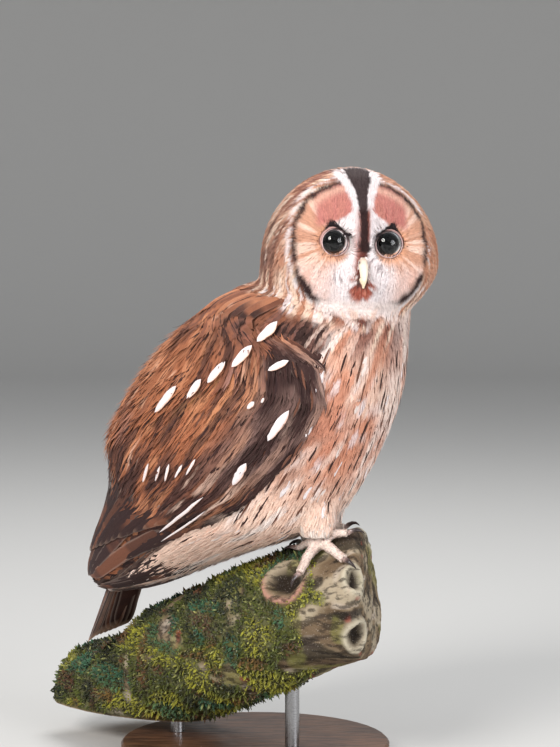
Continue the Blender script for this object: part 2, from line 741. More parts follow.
def face_colours(a, u, fine, rim_at, rays, ticks):
    """The face: rays round the eyes, salmon lobes, white fans, black wedges and a rust patch."""
    side = np.abs(a)
    spread = from_eye(a, u)
    near_mouth = hump(spread - 17.0, 7.0) * ramp(4.0, -2.0, u) * ramp(22.0, 14.0, side)
    whiskers = ramp(6.0, 0.0, u) * ramp(30.0, 22.0, side) * ramp(-22.0, -16.0, u)
    wide = np.interp(u, FAN_UP, FAN_HALF)
    lobe = ramp(23.0, 28.0, u + 0.25 * (side - 18.0)) * ramp(33.0, 28.0, side)
    fan = ramp(wide + 1.4, wide - 1.2, side + 2.2 * (fine - 0.5))
    face = paint(
        (0.66, 0.36, 0.25),
        (0.90, 0.64, 0.52), ramp(0.48, 0.72, rays) * 0.85,
        (0.62, 0.32, 0.21), ramp(0.46, 0.28, rays) * 0.7,
        (0.93, 0.74, 0.70), ramp(4.0, -12.0, u) * (0.55 + 0.4 * rays),
        WHITE, ramp(6.0, -6.0, u) * ramp(27.0, 15.0, side) * (0.70 + 0.3 * rays),
        (0.80, 0.40, 0.27), hump(u + 12.0, 8.0) * hump(side - 36.0, 5.0) * 0.5,
        (0.72, 0.36, 0.22), hump(spread - 11.0, 2.6) * ramp(3.0, 12.0, side) * 0.8,
        (0.16, 0.10, 0.10), near_mouth * ramp(0.70, 0.80, ticks) * 0.40,
        (0.22, 0.13, 0.12), whiskers * ramp(0.74, 0.82, ticks) * 0.22,
        SALMON, lobe * (0.75 + 0.3 * rays),
        PALE_SALMON, lobe * hump(rim_at - 0.92, 0.05) * 0.6,
        WHITE, fan,
        (0.25, 0.18, 0.19), fan * ramp(0.76, 0.84, ticks) * ramp(30.0, 22.0, u) * 0.6)
    # A black wedge stands on each eye.
    below_line = ramp(0.7, -0.5, u - wedge_top(side))
    inside_end = ramp(0.8, -0.6, u - wedge_end(side))
    wedge = below_line * inside_end * ramp(14.5, 16.0, u) * ramp(9.0, 10.5, side)
    fringe = grain(np.stack((np.arctan2(a, -12.0 - u) * 5.5, 0.0 * a, 0.0 * a), axis=1), 1.0, 45)
    rust_half = np.interp(u + 9.0 * (fringe - 0.5) + 3.0 * (fine - 0.5), RUST_UP, RUST_HALF)
    rust = ramp(rust_half + 2.0, rust_half - 3.0, side + 8.0 * (fringe - 0.5)) * ramp(0.0, 4.0, rust_half)
    return paint(
        face,
        SOOT, wedge * ramp(8.6, 9.4, spread + 1.0),
        (0.36, 0.085, 0.055), rust,
        (0.60, 0.24, 0.17), rust * ramp(0.50, 0.68, fine) * 0.6,
        (0.11, 0.030, 0.026), rust * ramp(6.0, 2.0, side) * ramp(-20.0, -14.0, u) * 0.8,
        PALE_BUFF, ramp(-27.0, -30.5, u) * ramp(32.0, 26.0, side))


def head_colours(points, chance):
    """Colours of head and neck."""
    a, f, u = head_place(points)
    side = np.abs(a)
    fleck = grain(points, 0.0045, 1)
    fine = grain(points, 0.0016, 3)
    streak = head_streaks(points, 0.013, 0.0034, 41)
    thin = head_streaks(points, 0.010, 0.0019, 42)
    turn = np.arctan2(u - EYE_UP / MM, side - EYE_ACROSS / MM)
    rays = grain(np.stack((turn * 9.0, from_eye(a, u) * 0.05, np.sign(a)), axis=1), 1.0, 4)
    ticks = grain(np.stack((turn * 17.0, from_eye(a, u) * 0.12, np.sign(a)), axis=1), 1.0, 43)
    front = ramp(14.0, 22.0, f + 0.10 * u)
    rim_at = rim_reach(a, u)
    disc = front * ramp(1.015, 0.985, rim_at)
    # The rim: a thin dark line above, broken at the cheek and thick below, with white ticks.
    broken = 0.70 + 0.30 * ramp(0.34, 0.48, fleck)
    gap = 1.0 - 0.75 * hump(u + 3.0, 3.0)
    rim_width = 0.026 + 0.022 * ramp(-4.0, -14.0, u) + 0.006 * ramp(30.0, 10.0, u)
    wavy = rim_at + 0.035 * (fleck - 0.5) + 0.025 * (fine - 0.5)
    edge = front * hump(wavy - 1.01, rim_width) * broken * gap * ramp(-33.0, -28.0, u)
    tint = paint(
        side_colours(points, a, f, u, streak, thin),
        face_colours(a, u, fine, rim_at, rays, ticks), disc,
        WHITE, front * hump(wavy - 1.085, 0.030) * ramp(0.46, 0.62, thin) * 0.9,
        SOOT, np.minimum(edge * 1.5, 1.0))
    # Chin ruff, bound below by dark ticks.
    under = ramp(10.0, 25.0, f)
    torn = u + 9.0 * (streak - 0.5) + 5.0 * (thin - 0.5)
    chin = ramp(-24.0, -28.0, u) * ramp(-41.0, -36.0, torn) * ramp(33.0, 24.0, side) * under
    clump = hump(a + 3.0, 6.5) + 0.6 * hump(a - 13.0, 4.0)
    ticks_below = ramp(-36.0, -38.0, u) * ramp(-47.0, -42.0, u) * np.minimum(clump, 1.0) * under
    tint = paint(
        tint,
        PALE_BUFF, chin * 0.97,
        (0.86, 0.60, 0.48), chin * ramp(0.56, 0.72, thin) * ramp(-28.0, -34.0, u) * 0.7,
        (0.15, 0.045, 0.035), ticks_below * ramp(0.36, 0.50, grain(points, 0.0030, 44)))
    # White bands on both sides of the dark crown stripe.
    top = ramp(12.0, 24.0, f + 0.25 * u)
    inner = np.interp(u, STRIPE_UP, STRIPE_HALF)
    outer = inner + np.interp(u, (32.0, 40.0, 47.0, 57.0), (3.5, 4.2, 5.8, 7.5))
    band = ramp(outer + 0.8, outer - 0.6, side + 1.4 * (fine - 0.5)) * ramp(33.0, 38.0, u) * top
    ragged = side + 1.4 * (fine - 0.5) + 5.0 * (ticks - 0.5) * ramp(15.0, 10.0, u)
    stripe = ramp(inner + 0.6, inner - 0.6, ragged) * ramp(5.5, 8.0, u) * top
    tint = paint(
        tint,
        WHITE, band,
        (0.030, 0.014, 0.014), stripe * 0.97)
    # Down the neck the body's colours take over.
    low_edge = np.interp(a, RUFF_ACROSS, RUFF_UP)
    torn = u + 5.0 * (streak - 0.5) + 4.0 * (thin - 0.5)
    neck = ramp(low_edge + 1.0, low_edge - 3.0, torn) * (1.0 - 0.9 * ticks_below)
    return blend(tint, torso_colours(points, chance), neck)


def torso_colours(points, chance):
    """The breast's colours in front and the mantle's behind, which reach forward by the neck."""
    place, angle = body_place(points)
    edge = np.interp(place, MANTLE_PLACES, MANTLE_ANGLES)
    torn = np.abs(angle) + 14.0 * (streaks(points, 0.020, 0.0034, 46) - 0.5)
    mantle = ramp(edge - 4.0, edge + 4.0, torn)
    return blend(breast_colours(points, chance), back_colours(points, chance), mantle)


def breast_colours(points, chance):
    """Cream and salmon in soft strokes, warmer at the side of the neck and whiter low down."""
    place, angle = body_place(points)
    around = np.abs(angle)
    broad = streaks(points, 0.042, 0.0170, 5)
    soft = streaks(points, 0.026, 0.0070, 6)
    thin = streaks(points, 0.019, 0.0036, 7)
    tint = paint(
        (0.84, 0.50, 0.37),
        (0.92, 0.66, 0.53), ramp(0.40, 0.68, broad) * 0.85,
        (0.66, 0.27, 0.17), hump(place - 1.3, 0.7) * ramp(0.58, 0.36, broad) * 0.55,
        (0.74, 0.32, 0.19), ramp(0.50, 0.28, soft) * 0.70,
        (0.56, 0.21, 0.12), ramp(0.34, 0.18, soft) * 0.4,
        (0.95, 0.78, 0.69), ramp(0.60, 0.80, soft) * 0.6,
        (0.95, 0.86, 0.84), ramp(0.74, 0.86, thin) * 0.5,
        (0.46, 0.18, 0.11), ramp(0.26, 0.16, thin) * 0.45)
    for stroke_place, stroke_angle in PALE_STROKES:
        near = hump(place - stroke_place, 0.17) * hump(angle - stroke_angle, 2.4)
        tint = paint(tint, (0.95, 0.86, 0.86), ramp(0.35, 0.60, near))
    beside = hump(around - wing_edge(place) + 4.0, 9.0) * ramp(-0.2, 0.4, place) * ramp(3.4, 2.4, place)
    throat = hump(place + 0.20, 0.50) * ramp(48.0, 30.0, around)
    mid = hump(place - 1.4, 1.0) * hump(angle - 28.0, 16.0)
    low = ramp(1.9, 3.3, place)
    under_wing = ramp(4.0, 4.5, place) * ramp(-0.05, -0.01, wing_share(place, angle))
    return paint(
        tint,
        (0.26, 0.125, 0.09), beside * (0.35 + 0.6 * ramp(0.60, 0.42, thin)),
        (0.94, 0.80, 0.76), ramp(8.0, 22.0, -angle) * ramp(0.46, 0.62, soft) * 0.7,
        (0.42, 0.17, 0.115), throat * 0.75,
        (0.20, 0.075, 0.055), throat * ramp(0.42, 0.30, thin) * 0.8,
        (0.93, 0.78, 0.62), throat * ramp(0.56, 0.72, thin) * 0.7,
        (0.66, 0.27, 0.17), mid * (0.30 + 0.45 * ramp(0.60, 0.40, soft)),
        (0.96, 0.80, 0.73), ramp(14.0, -4.0, angle) * (0.30 + 0.3 * ramp(0.40, 0.60, soft)),
        (0.95, 0.69, 0.56), low * (0.45 + 0.5 * ramp(0.66, 0.40, soft)),
        (0.94, 0.82, 0.76), low * ramp(0.54, 0.70, soft) * 0.7,
        (0.050, 0.024, 0.020), under_wing * 0.95)


def back_colours(points, chance):
    """Rufous shoulders and mantle in long strokes, darker by the neck, and down the spine."""
    place, angle = body_place(points)
    share = wing_share(place, angle)
    broad = wing_streaks(points, 0.050, 0.0150, 9)
    soft = wing_streaks(points, 0.034, 0.0060, 10)
    thin = wing_streaks(points, 0.026, 0.0030, 11)
    by_neck = hump(place - 0.05, 0.65) * ramp(132.0, 100.0, np.abs(angle))
    return paint(
        (0.36, 0.130, 0.062),
        (0.54, 0.225, 0.115), ramp(0.54, 0.76, soft) * 0.85,
        (0.20, 0.075, 0.045), ramp(0.42, 0.24, soft) * 0.85,
        (0.36, 0.20, 0.17), ramp(0.66, 0.82, broad) * 0.6,
        (0.74, 0.46, 0.32), ramp(0.78, 0.88, thin) * 0.5,
        UMBER, ramp(0.22, 0.14, thin) * 0.75,
        (0.12, 0.056, 0.046), by_neck * (0.45 + 0.5 * ramp(0.40, 0.60, soft)),
        (0.30, 0.115, 0.075), by_neck * ramp(0.60, 0.74, thin) * 0.8,
        (0.030, 0.015, 0.013), by_neck * ramp(0.34, 0.24, thin) * 0.9,
        (0.20, 0.085, 0.055), ramp(0.96, 1.10, share) * 0.6)


def covert_colours(points, chance):
    """Coverts: dark grey-brown towards the breast, rufous higher up, dark below the shoulder."""
    place, angle = body_place(points)
    share = wing_share(place, angle)
    broad = wing_streaks(points, 0.045, 0.0160, 12)
    soft = wing_streaks(points, 0.034, 0.0062, 13)
    thin = wing_streaks(points, 0.028, 0.0030, 14)
    tint = paint(
        (0.37, 0.130, 0.062),
        (0.56, 0.24, 0.12), ramp(0.58, 0.80, soft) * 0.8,
        (0.17, 0.065, 0.040), ramp(0.46, 0.30, soft) * 0.9,
        (0.36, 0.21, 0.08), hump(place - 1.5, 0.5) * ramp(0.55, 0.75, broad) * 0.7,
        UMBER, ramp(0.34, 0.22, thin) * 0.8)
    dark = ramp(0.36, 0.16, share + 0.10 * (soft - 0.5)) * ramp(0.0, 0.5, place) * ramp(3.4, 2.4, place)
    shadow = paint(
        (0.150, 0.086, 0.074),
        (0.30, 0.175, 0.135), ramp(0.50, 0.70, soft),
        (0.34, 0.22, 0.18), ramp(0.74, 0.84, thin) * 0.8,
        (0.045, 0.022, 0.020), ramp(0.38, 0.24, soft))
    below = hump(share - shoulder_border(place) + 0.05, 0.055) * ramp(2.7, 2.2, place)
    rear = ramp(2.2, 3.2, place)
    return paint(
        tint,
        shadow, dark,
        (0.075, 0.034, 0.026), below * ramp(0.62, 0.44, thin) * 0.85,
        (0.065, 0.028, 0.023), rear * ramp(0.58, 0.42, soft) * 0.95,
        (0.026, 0.013, 0.013), rear * ramp(0.16, 0.08, share + 0.05 * (soft - 0.5)),
        (0.36, 0.15, 0.080), rear * ramp(0.56, 0.70, soft) * 0.6,
        (0.66, 0.47, 0.38), rear * ramp(0.70, 0.78, thin) * ramp(3.9, 3.3, place) * 0.8)


def flight_colours(points, chance):
    """Flight feathers: near black with brown and a few pale strands."""
    soft = wing_streaks(points, 0.080, 0.0038, 17)
    thin = wing_streaks(points, 0.060, 0.0022, 18)
    off_tip = ramp(3.9, 3.3, body_place(points)[0])
    return paint(
        (0.036, 0.017, 0.016),
        (0.19, 0.070, 0.040), ramp(0.58, 0.68, soft) * 0.8,
        (0.58, 0.36, 0.27), off_tip * ramp(0.78, 0.86, soft) * 0.7,
        SOOT, ramp(0.40, 0.28, thin) * 0.8,
        (0.74, 0.60, 0.54), off_tip * ramp(0.82, 0.88, thin) * 0.8,
        (0.22, 0.085, 0.048), (chance > 0.80) * 0.4)


def dash_colours(points, chance):
    """Near black strokes, some brown."""
    return paint((0.045, 0.020, 0.018), BROWN, (chance > 0.6) * 0.5)


def fleck_colours(points, chance):
    """White strokes."""
    return paint(WHITE, CREAM, (chance > 0.5) * 0.5)


def leg_colours(points, chance):
    return paint((0.92, 0.78, 0.70), PALE_SALMON, ramp(0.45, 0.72, grain(points, 0.0040, 15)) * 0.7)


def toe_colours(points, chance):
    fleck = grain(points, 0.0060, 16)
    return paint((0.88, 0.73, 0.65), (0.66, 0.46, 0.38), ramp(0.50, 0.85, fleck) * 0.3)


def brow_colours(points, chance):
    return plain(BLACK, len(points))


# ---- lie of the coat

def body_flow(points):
    """Feathers lie towards the tail, and a little outwards on the breast."""
    place, angle = body_place(points)
    middle, _, normal = section(place)
    tail = unit(section(place + 0.2)[0] - middle)
    spread = SPLAY * ramp(80.0, 50.0, np.abs(angle))
    splay = (np.sin(np.radians(angle)) * spread)[:, None] * RIGHT
    share = (0.50 + 0.50 * ramp(0.0, 4.0, place))[:, None]
    return splay + tail * share - normal * (1.0 - share)


def head_flow(points):
    """Feathers lie away from the bill, over the crown and down the neck."""
    a, f, u = head_place(points)
    round_down = unit((np.sign(a) * (u - 4.0))[:, None] * HEAD_ACROSS - np.abs(a)[:, None] * HEAD_UP)
    away = unit(points - head_point(*FACE_MIDDLE)) * 0.6 + round_down * ramp(4.0, 20.0, np.abs(a))[:, None]
    down = unit(body_flow(points))
    return blend(away, down, np.maximum(ramp(12.0, -32.0, f), ramp(-22.0, -38.0, u)))


def face_flow(points):
    """Bristles ray out from each eye; on the brow they rise and part, and below the bill fall."""
    a, _, u = head_place(points)
    eye = np.where(a[:, None] > 0, head_point(EYE_ACROSS, EYE_FORWARD, EYE_UP),
                   head_point(-EYE_ACROSS, EYE_FORWARD, EYE_UP))
    rays = unit(points - eye)
    parting = np.clip(a / 5.0, -1.0, 1.0)[:, None]
    middle = unit(HEAD_UP + HEAD_ACROSS * parting * 0.45)
    low = unit(-HEAD_UP + HEAD_ACROSS * parting * 0.45)
    brow = ramp(9.0, 3.0, np.abs(a)) * ramp(4.0, 12.0, u)
    chin = ramp(14.0, 5.0, np.abs(a)) * ramp(2.0, -6.0, u)
    return blend(blend(rays, middle, brow), low, chin)


def leg_flow(points):
    return np.tile(-UP, (len(points), 1))


def box_middle(node):
    return np.mean([np.array(corner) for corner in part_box(node)], axis=0)


def toe_flow(points):
    """Down of the toes lies away from the sole's middle."""
    middles = np.array([box_middle(node) for node in FEET])
    gaps = np.linalg.norm(points - middles[:, None], axis=2)
    return points - middles[np.argmin(gaps, axis=0)] - UP * 0.004


# ---- feathers

def vane_outline(along, tip=0.55, root=0.30):
    """Half width over the share along a vane, 1 at its widest."""
    rise = np.clip(along / 0.28, 0.0, 1.0) ** 0.7
    fall = np.sqrt(np.clip(1.0 - np.clip((along - tip) / (1.0 - tip), 0.0, 1.0) ** 2, 0.0, 1.0))
    return (root + (1.0 - root) * rise) * fall


def frayed(outline, amount, count):
    """The outline of each of some vanes, with small random dents."""
    return outline * (1.0 + amount * (rng.random((count, len(outline))) - 0.5))


def patches(points, centre, axis, ahead):
    """Where roots lie on an even unwrap of the skin round an axis, from 0 to 1."""
    offset = unit(points - centre)
    side = np.cross(axis, ahead)
    turn = np.arctan2(offset @ side, offset @ ahead) / (2 * math.pi) + 0.5
    level = (offset @ axis + 1.0) / 2.0
    return np.stack((0.01 + 0.98 * turn, 0.01 + 0.98 * level), axis=1)


PATCH = 0.003
RIM_ANGLE = math.radians(50.0)     # a vane's rim is sharper than this


def sewn(name, paths, ups, half_width, thickness, outline, droop, tint, unwrap, streak=0.0,
         bars=(0.0, 0.0, 0.0), across=3, touch=None):
    """One mesh of closed vanes.

    paths and ups are (count, stations, 3): middle lines and outward directions. Each section is a
    flat lens with drooping edges and across points over its top. tint has a colour for each vane
    or each station of it, streak the dark streak's half width, and touch may change the tint.
    """
    count, stations, _ = paths.shape
    inner = stations - 2
    ahead = np.gradient(paths, axis=1)
    side = unit(np.cross(ahead, ups))
    wide = np.broadcast_to(outline, (count, stations)) * half_width[:, None]
    top = np.linspace(-1.0, 1.0, across)
    spread = np.concatenate((top, top[-2:0:-1]))
    rise = np.concatenate((1.0 - np.abs(top) ** 2, -0.35 * (1.0 - np.abs(top[-2:0:-1]) ** 2)))
    around = len(spread)
    middle = paths[:, 1:-1, None, :]
    out = side[:, 1:-1, None, :] * (wide[:, 1:-1, None] * spread)[..., None]
    level = np.broadcast_to(thickness, count)[:, None, None] * rise
    level = level - droop * wide[:, 1:-1, None] * spread ** 2
    body = middle + out + ups[:, 1:-1, None, :] * level[..., None]
    points = np.concatenate((paths[:, :1], body.reshape(count, -1, 3), paths[:, -1:]), axis=1)
    size = points.shape[1]

    index = np.arange(1, size - 1).reshape(inner, around)
    after = np.roll(index, -1, axis=1)
    triangles = [(0, second, first) for first, second in zip(index[0], after[0])]
    triangles += [(size - 1, first, second) for first, second in zip(index[-1], after[-1])]
    start = (np.arange(count) * size)[:, None, None]
    mesh = build_mesh(name, points.reshape(-1, 3), (start + ring_quads(index)).reshape(-1, 4),
                      (start + np.array(triangles)).reshape(-1, 3))
    mesh.set_sharp_from_angle(angle=RIM_ANGLE)

    share = np.linspace(0.0, 1.0, stations)
    along = np.concatenate(([0.0], np.repeat(share[1:-1], around), [1.0]))
    over = np.concatenate(([0.0], np.tile(spread, inner), [0.0]))
    streak = np.broadcast_to(streak, count)[:, None]
    vane = np.stack(np.broadcast_arrays(along, over, streak), axis=-1)
    ruled = np.broadcast_to(np.reshape(bars, (-1, 1, 3)), vane.shape)
    for key, values in (("vane", vane), ("bars", ruled)):
        mesh.attributes.new(key, "FLOAT_VECTOR", "POINT").data.foreach_set("vector", values.ravel())
    if tint.ndim == 2:
        tint = np.repeat(tint[:, None], stations, axis=1)
    tint = np.concatenate((tint[:, :1], np.repeat(tint[:, 1:-1], around, axis=1), tint[:, -1:]), axis=1)
    if touch:
        tint = touch(tint, along, over)
    set_tint(mesh, tint.reshape(-1, 3))

    sewing = mesh.uv_layers.new(name="OFBake")
    spot = unwrap[:, None] + np.stack((over * PATCH / 2, along * PATCH), axis=1)
    corners = np.empty(len(mesh.loops), dtype=np.int32)
    mesh.loops.foreach_get("vertex_index", corners)
    sewing.data.foreach_set("uv", spot.reshape(-1, 2)[corners].ravel())
    return mesh


def walk(form, roots, flow, length, stations, sink, lift):
    """Middle lines that follow the surface along the flow, from below it at the root to its top."""
    count = len(roots)
    paths = np.empty((count, stations, 3))
    ups = np.empty((count, stations, 3))
    spots, normals = form.nearest(roots)
    step = (length / (stations - 1))[:, None]
    for k in range(stations):
        share = k / (stations - 1)
        height = lift * share ** 2 - sink * (1.0 - share) ** 1.4
        paths[:, k] = spots + normals * np.broadcast_to(height, (count,))[:, None]
        ups[:, k] = normals
        if k < stations - 1:
            ahead = tangential(flow(spots), normals)
            spots, normals = form.nearest(spots + ahead * step)
    return paths, ups


# ---- forms and skin

WINGS = ("wing_left", "wing_right")
LEGS = ("leg_left", "leg_right")
FLESH = ("head", "neck", "trunk", *WINGS, *LEGS)
FEET = ("foot_left", "foot_right")
FORM_VOXEL = 0.0020
FOOT_VOXEL = 0.0009

form = Form(remeshed(joined(FLESH), FORM_VOXEL, 4))
foot_form = Form(remeshed(joined(FEET), FOOT_VOXEL, 2))


def labels(points, nodes):
    """Which of the nodes is nearest to each point."""
    rows, faces, owners = gathered(nodes)
    tree = BVHTree.FromPolygons(rows, faces)
    return np.array([owners[tree.find_nearest(point)[2]] for point in points])


def lies_in(owner, *nodes):
    """Which points have one of the named nodes nearest to them."""
    return np.isin(owner, [(FLESH + FEET).index(node) for node in nodes])


def coat_depth(points, owner):
    """How far below the solids' surface the skin lies."""
    a, f, u = head_place(points)
    depth = np.full(len(points), BODY_COAT)
    face = ramp(10.0, 26.0, f) * ramp(-30.0, -20.0, u)
    on_head = ramp(-50.0, -30.0, u)
    depth += (HEAD_COAT - depth) * on_head
    depth += (FACE_COAT - depth) * face * on_head
    around_eye = from_eye(a, u)
    depth += (LID_COAT - depth) * ramp(13.0, 9.5, around_eye) * ramp(15.0, 28.0, f)
    bill_root = np.hypot(a, u + 2.0)
    depth += (BILL_ROOT_COAT - depth) * ramp(11.0, 7.0, bill_root) * ramp(15.0, 28.0, f)
    depth[lies_in(owner, *LEGS)] = LEG_COAT
    depth[lies_in(owner, *FEET)] = FOOT_COAT
    return depth


BACK_ANGLE = 110.0                 # degrees from the belly where the back begins


def build_skin():
    """One skin over head, neck, body, wings, legs and feet, with lids round the eyes."""
    mesh = remeshed(joined(FLESH + FEET), SKIN_VOXEL, 1)
    points = mesh_points(mesh)
    owner = labels(points, FLESH + FEET)
    depth = coat_depth(points, owner)
    for _ in range(4):
        points = points - mesh_normals(mesh) * (depth / 4)[:, None]
        move_points(mesh, points)
    # Round each eye the skin is drawn back behind the lids.
    a, f, u = head_place(points)
    around_eye = from_eye(a, u)
    lid_forward = EYE_FORWARD / MM + math.sqrt(EYE_RADIUS ** 2 - LID_OPENING ** 2) / MM
    limit = lid_forward - 0.9 + 5.0 * ramp(9.2, 13.5, around_eye)
    excess = np.clip(f - limit, 0.0, 12.0) * (f > 20.0) * ramp(14.0, 13.0, around_eye)
    points = points - HEAD_AHEAD * (excess * MM)[:, None]
    move_points(mesh, points)
    chance = rng.random(len(points))
    tint = torso_colours(points, chance)
    _, angle = body_place(points)
    feet = lies_in(owner, *FEET)
    behind = np.abs(angle) > BACK_ANGLE
    for wanted, colour_of in ((lies_in(owner, *WINGS), covert_colours),
                              (lies_in(owner, "trunk") & behind, back_colours),
                              (lies_in(owner, "head", "neck"), head_colours),
                              (lies_in(owner, *LEGS), leg_colours), (feet, toe_colours)):
        tint[wanted] = colour_of(points[wanted], chance[wanted])
    tint[~feet] *= UNDERCOAT_SHADE
    set_tint(mesh, tint)
    return mesh


LID_WIDTH = 0.0009
LID_RIM = (0.012, 0.008, 0.010)


def lid(sign):
    """The ring of bare lid round an eye, thicker above, with small folds."""
    turn = np.linspace(0.0, 2 * math.pi, 72, endpoint=False)[:, None]
    roll = np.linspace(0.0, 2 * math.pi, 10, endpoint=False)
    upper = np.maximum(0.0, np.sin(turn))
    thick = LID_WIDTH * (0.75 + 0.35 * upper) * (1.0 + 0.03 * np.sin(19 * turn))
    radius = LID_OPENING + 0.55 * thick - 0.0008 * upper + thick * 0.62 * np.cos(roll)
    reach = math.sqrt(EYE_RADIUS ** 2 - LID_OPENING ** 2)
    forward = EYE_FORWARD + reach + 0.0003 + thick * 0.55 * np.sin(roll)
    points = head_points(sign * EYE_ACROSS + radius * np.cos(turn), forward,
                         EYE_UP + radius * np.sin(turn))
    index = np.arange(radius.size).reshape(radius.shape)
    mesh = build_mesh("lid", points.reshape(-1, 3), ring_quads(np.vstack((index, index[:1])), True))
    a, _, u = head_place(points.reshape(-1, 3))
    frown = 0.811 * (u - EYE_UP / MM) - 0.586 * (np.abs(a) - EYE_ACROSS / MM)
    set_tint(mesh, paint((0.72, 0.50, 0.49), LID_RIM, ramp(8.8, 8.5, from_eye(a, u)),
                         SOOT, ramp(5.2, 6.6, frown)))
    return mesh


skin_material = flesh_material("skin", 0.62, 420.0, 0.0004, Subsurface_Weight=0.08, Subsurface_Scale=0.002)
place_piece("skin", build_skin(), skin_material, "plumage", *FLESH, *FEET)
lid_material = flesh_material("lid_skin", 0.42, 900.0, 0.0002)
for side_name, sign in SIDES:
    place_piece("lid_" + side_name, lid(sign), lid_material, "toe_skin")


# ---- eyes, bill and claws

def eye_solid(sign, profile, turns):
    """A closed mesh turned round an eye's axis, from rows of distance from it and place along it."""
    turn = np.linspace(0.0, 2 * math.pi, turns, endpoint=False)
    out, ahead = np.array(profile).T[..., None]
    rings = head_points(sign * EYE_ACROSS + out * np.cos(turn), EYE_FORWARD + ahead,
                        EYE_UP + out * np.sin(turn))
    points = np.concatenate((rings[0, :1], rings[1:-1].reshape(-1, 3), rings[-1, :1]))
    index = np.arange(1, len(points) - 1).reshape(-1, turns)
    ends = [(0, low, after) for low, after in zip(index[0], np.roll(index[0], -1))]
    ends += [(len(points) - 1, after, low) for low, after in zip(index[-1], np.roll(index[-1], -1))]
    return build_mesh("eye", points, ring_quads(index, True), np.array(ends)), turn


PUPIL = 0.0052
EYE_REAR = (0.010, 0.006, 0.006)
IRIS_LIMIT = 0.80                  # radians from the axis where the iris meets the eye's white


def eyeball(sign):
    """A dark eye: a flat iris set back under the cornea, with a round pupil."""
    steps = 40
    radius = EYE_RADIUS * 0.985
    polar = math.pi * np.arange(steps + 1) / steps
    out = np.sin(polar) * radius
    pupil = (out < PUPIL) & (polar < 1.0)
    iris = radius * math.cos(IRIS_LIMIT) - np.where(pupil, 0.0007, 0.0)
    ahead = np.where(polar < IRIS_LIMIT, iris, np.cos(polar) * radius)
    ahead[0] = EYE_RADIUS * 0.62
    mesh, turn = eye_solid(sign, np.stack((out, ahead), axis=1), 48)
    ray = 0.7 + 0.3 * np.sin(23 * turn) * np.sin(9 * turn + 1.0)
    tint = np.array((0.006, 0.0035, 0.003)) * ray[:, None] * np.ones((steps - 1, 1, 1))
    tint[pupil[1:-1]] = (0.002, 0.0015, 0.002)
    tint[out[1:-1] > 0.0090] = (0.60, 0.36, 0.33)
    set_tint(mesh, np.concatenate((tint[0, :1], tint.reshape(-1, 3), [EYE_REAR])))
    return mesh


def cornea(sign):
    """The clear front of an eye."""
    polar = 0.98 * np.arange(17) / 16
    bulge = EYE_RADIUS + 0.0006 * np.cos(polar / 0.98 * math.pi / 2)
    front = np.stack((np.sin(polar), np.cos(polar)), axis=1)
    rows = np.concatenate((front * bulge[:, None], front[::-1] * (EYE_RADIUS - 0.0001)))
    return eye_solid(sign, rows, 40)[0]


eye_shade = Nodes("eye", 0.30, Specular_IOR_Level=0.1)
eye_material = eye_shade.finish(eye_shade.tint(), eye_shade.noise(1800.0, 2.0), 0.0001, 0.3)
clear_material = Nodes("cornea", 0.01, Transmission_Weight=1.0, IOR=1.30, Specular_IOR_Level=0.15).material
for side_name, sign in SIDES:
    place_piece("eyeball_" + side_name, eyeball(sign), eye_material, "eye", "eye_" + side_name)
    place_piece("cornea_" + side_name, cornea(sign), clear_material, "eye")


def horn_piece(name, nodes, voxel, slot, material, colour_of):
    """The nodes' shapes in fine smooth faces, tinted by a function of the points."""
    mesh = remeshed(joined(nodes), voxel, 3)
    set_tint(mesh, colour_of(mesh_points(mesh)))
    place_piece(name, mesh, material, slot, *nodes)


def bill_colours(points):
    a, f, u = head_place(points)
    tint = paint(
        (0.95, 0.82, 0.66),
        (0.93, 0.76, 0.48), ramp(-6.0, -14.0, u) * 0.6,
        (0.62, 0.42, 0.34), ramp(-2.0, 2.0, u) * 0.5)
    nostril = np.hypot(np.hypot(np.abs(a) - 2.9, u - 0.2), (f - 50.5) * 0.5)
    return paint(tint, (0.05, 0.02, 0.02), hump(nostril, 1.0))


def claw_colours(node):
    """Pale horn at the toe, near black at the tip."""
    foot_middle = box_middle("foot_" + node.split("_")[1])

    def colour_of(points):
        away = np.linalg.norm(points - foot_middle, axis=1)
        share = (away - away.min()) / max(np.ptp(away), 1e-6)
        return paint((0.46, 0.33, 0.30), (0.035, 0.024, 0.024), ramp(0.05, 0.55, share))

    return colour_of


bill_material = flesh_material("bill", 0.34, 800.0, 0.0001, 0.08, Coat_Weight=0.2, Coat_Roughness=0.25)
claw_material = flesh_material("claw", 0.24, 900.0, 0.0001, 0.10, Coat_Weight=0.3, Coat_Roughness=0.15)
horn_piece("bill", ("bill_upper", "bill_lower"), 0.00035, "bill", bill_material, bill_colours)
for side_name in ("left", "right"):
    for number in range(1, 5):
        node = f"claw_{side_name}_{number}"
        horn_piece(f"talon_{side_name}_{number}", (node,), 0.00035, "claw", claw_material,
                   claw_colours(node))


# ---- small feathers

coat_material = feather_material("feathers", 26.0)
flight_material = feather_material("flight_feathers", 90.0, 0.62)
owner = labels(form.middles, FLESH)
face_place, face_angle = body_place(form.middles)
face_a, face_f, face_u = head_place(form.middles)
on_head = lies_in(owner, "head", "neck")
on_trunk = lies_in(owner, "trunk")
in_disc = on_head & (rim_reach(face_a, face_u) < 1.03) & (face_f + 0.10 * face_u > 17.0)
near_eye = from_eye(face_a, face_u) < 9.3 + 1.5 * (np.abs(face_a) < 14.0)
near_bill = (np.abs(face_a) < 3.2) & (face_u < 0.0) & (face_u > -16.0)


def painted(colour_of, paths, chance, vary):
    """Colours all along some vanes, each a little lighter or darker than its neighbours."""
    count, stations, _ = paths.shape
    tint = colour_of(paths.reshape(-1, 3), np.repeat(chance, stations)).reshape(count, stations, 3)
    return tint * (1.0 + vary * (2.0 * rng.random(count) - 1.0))[:, None, None]


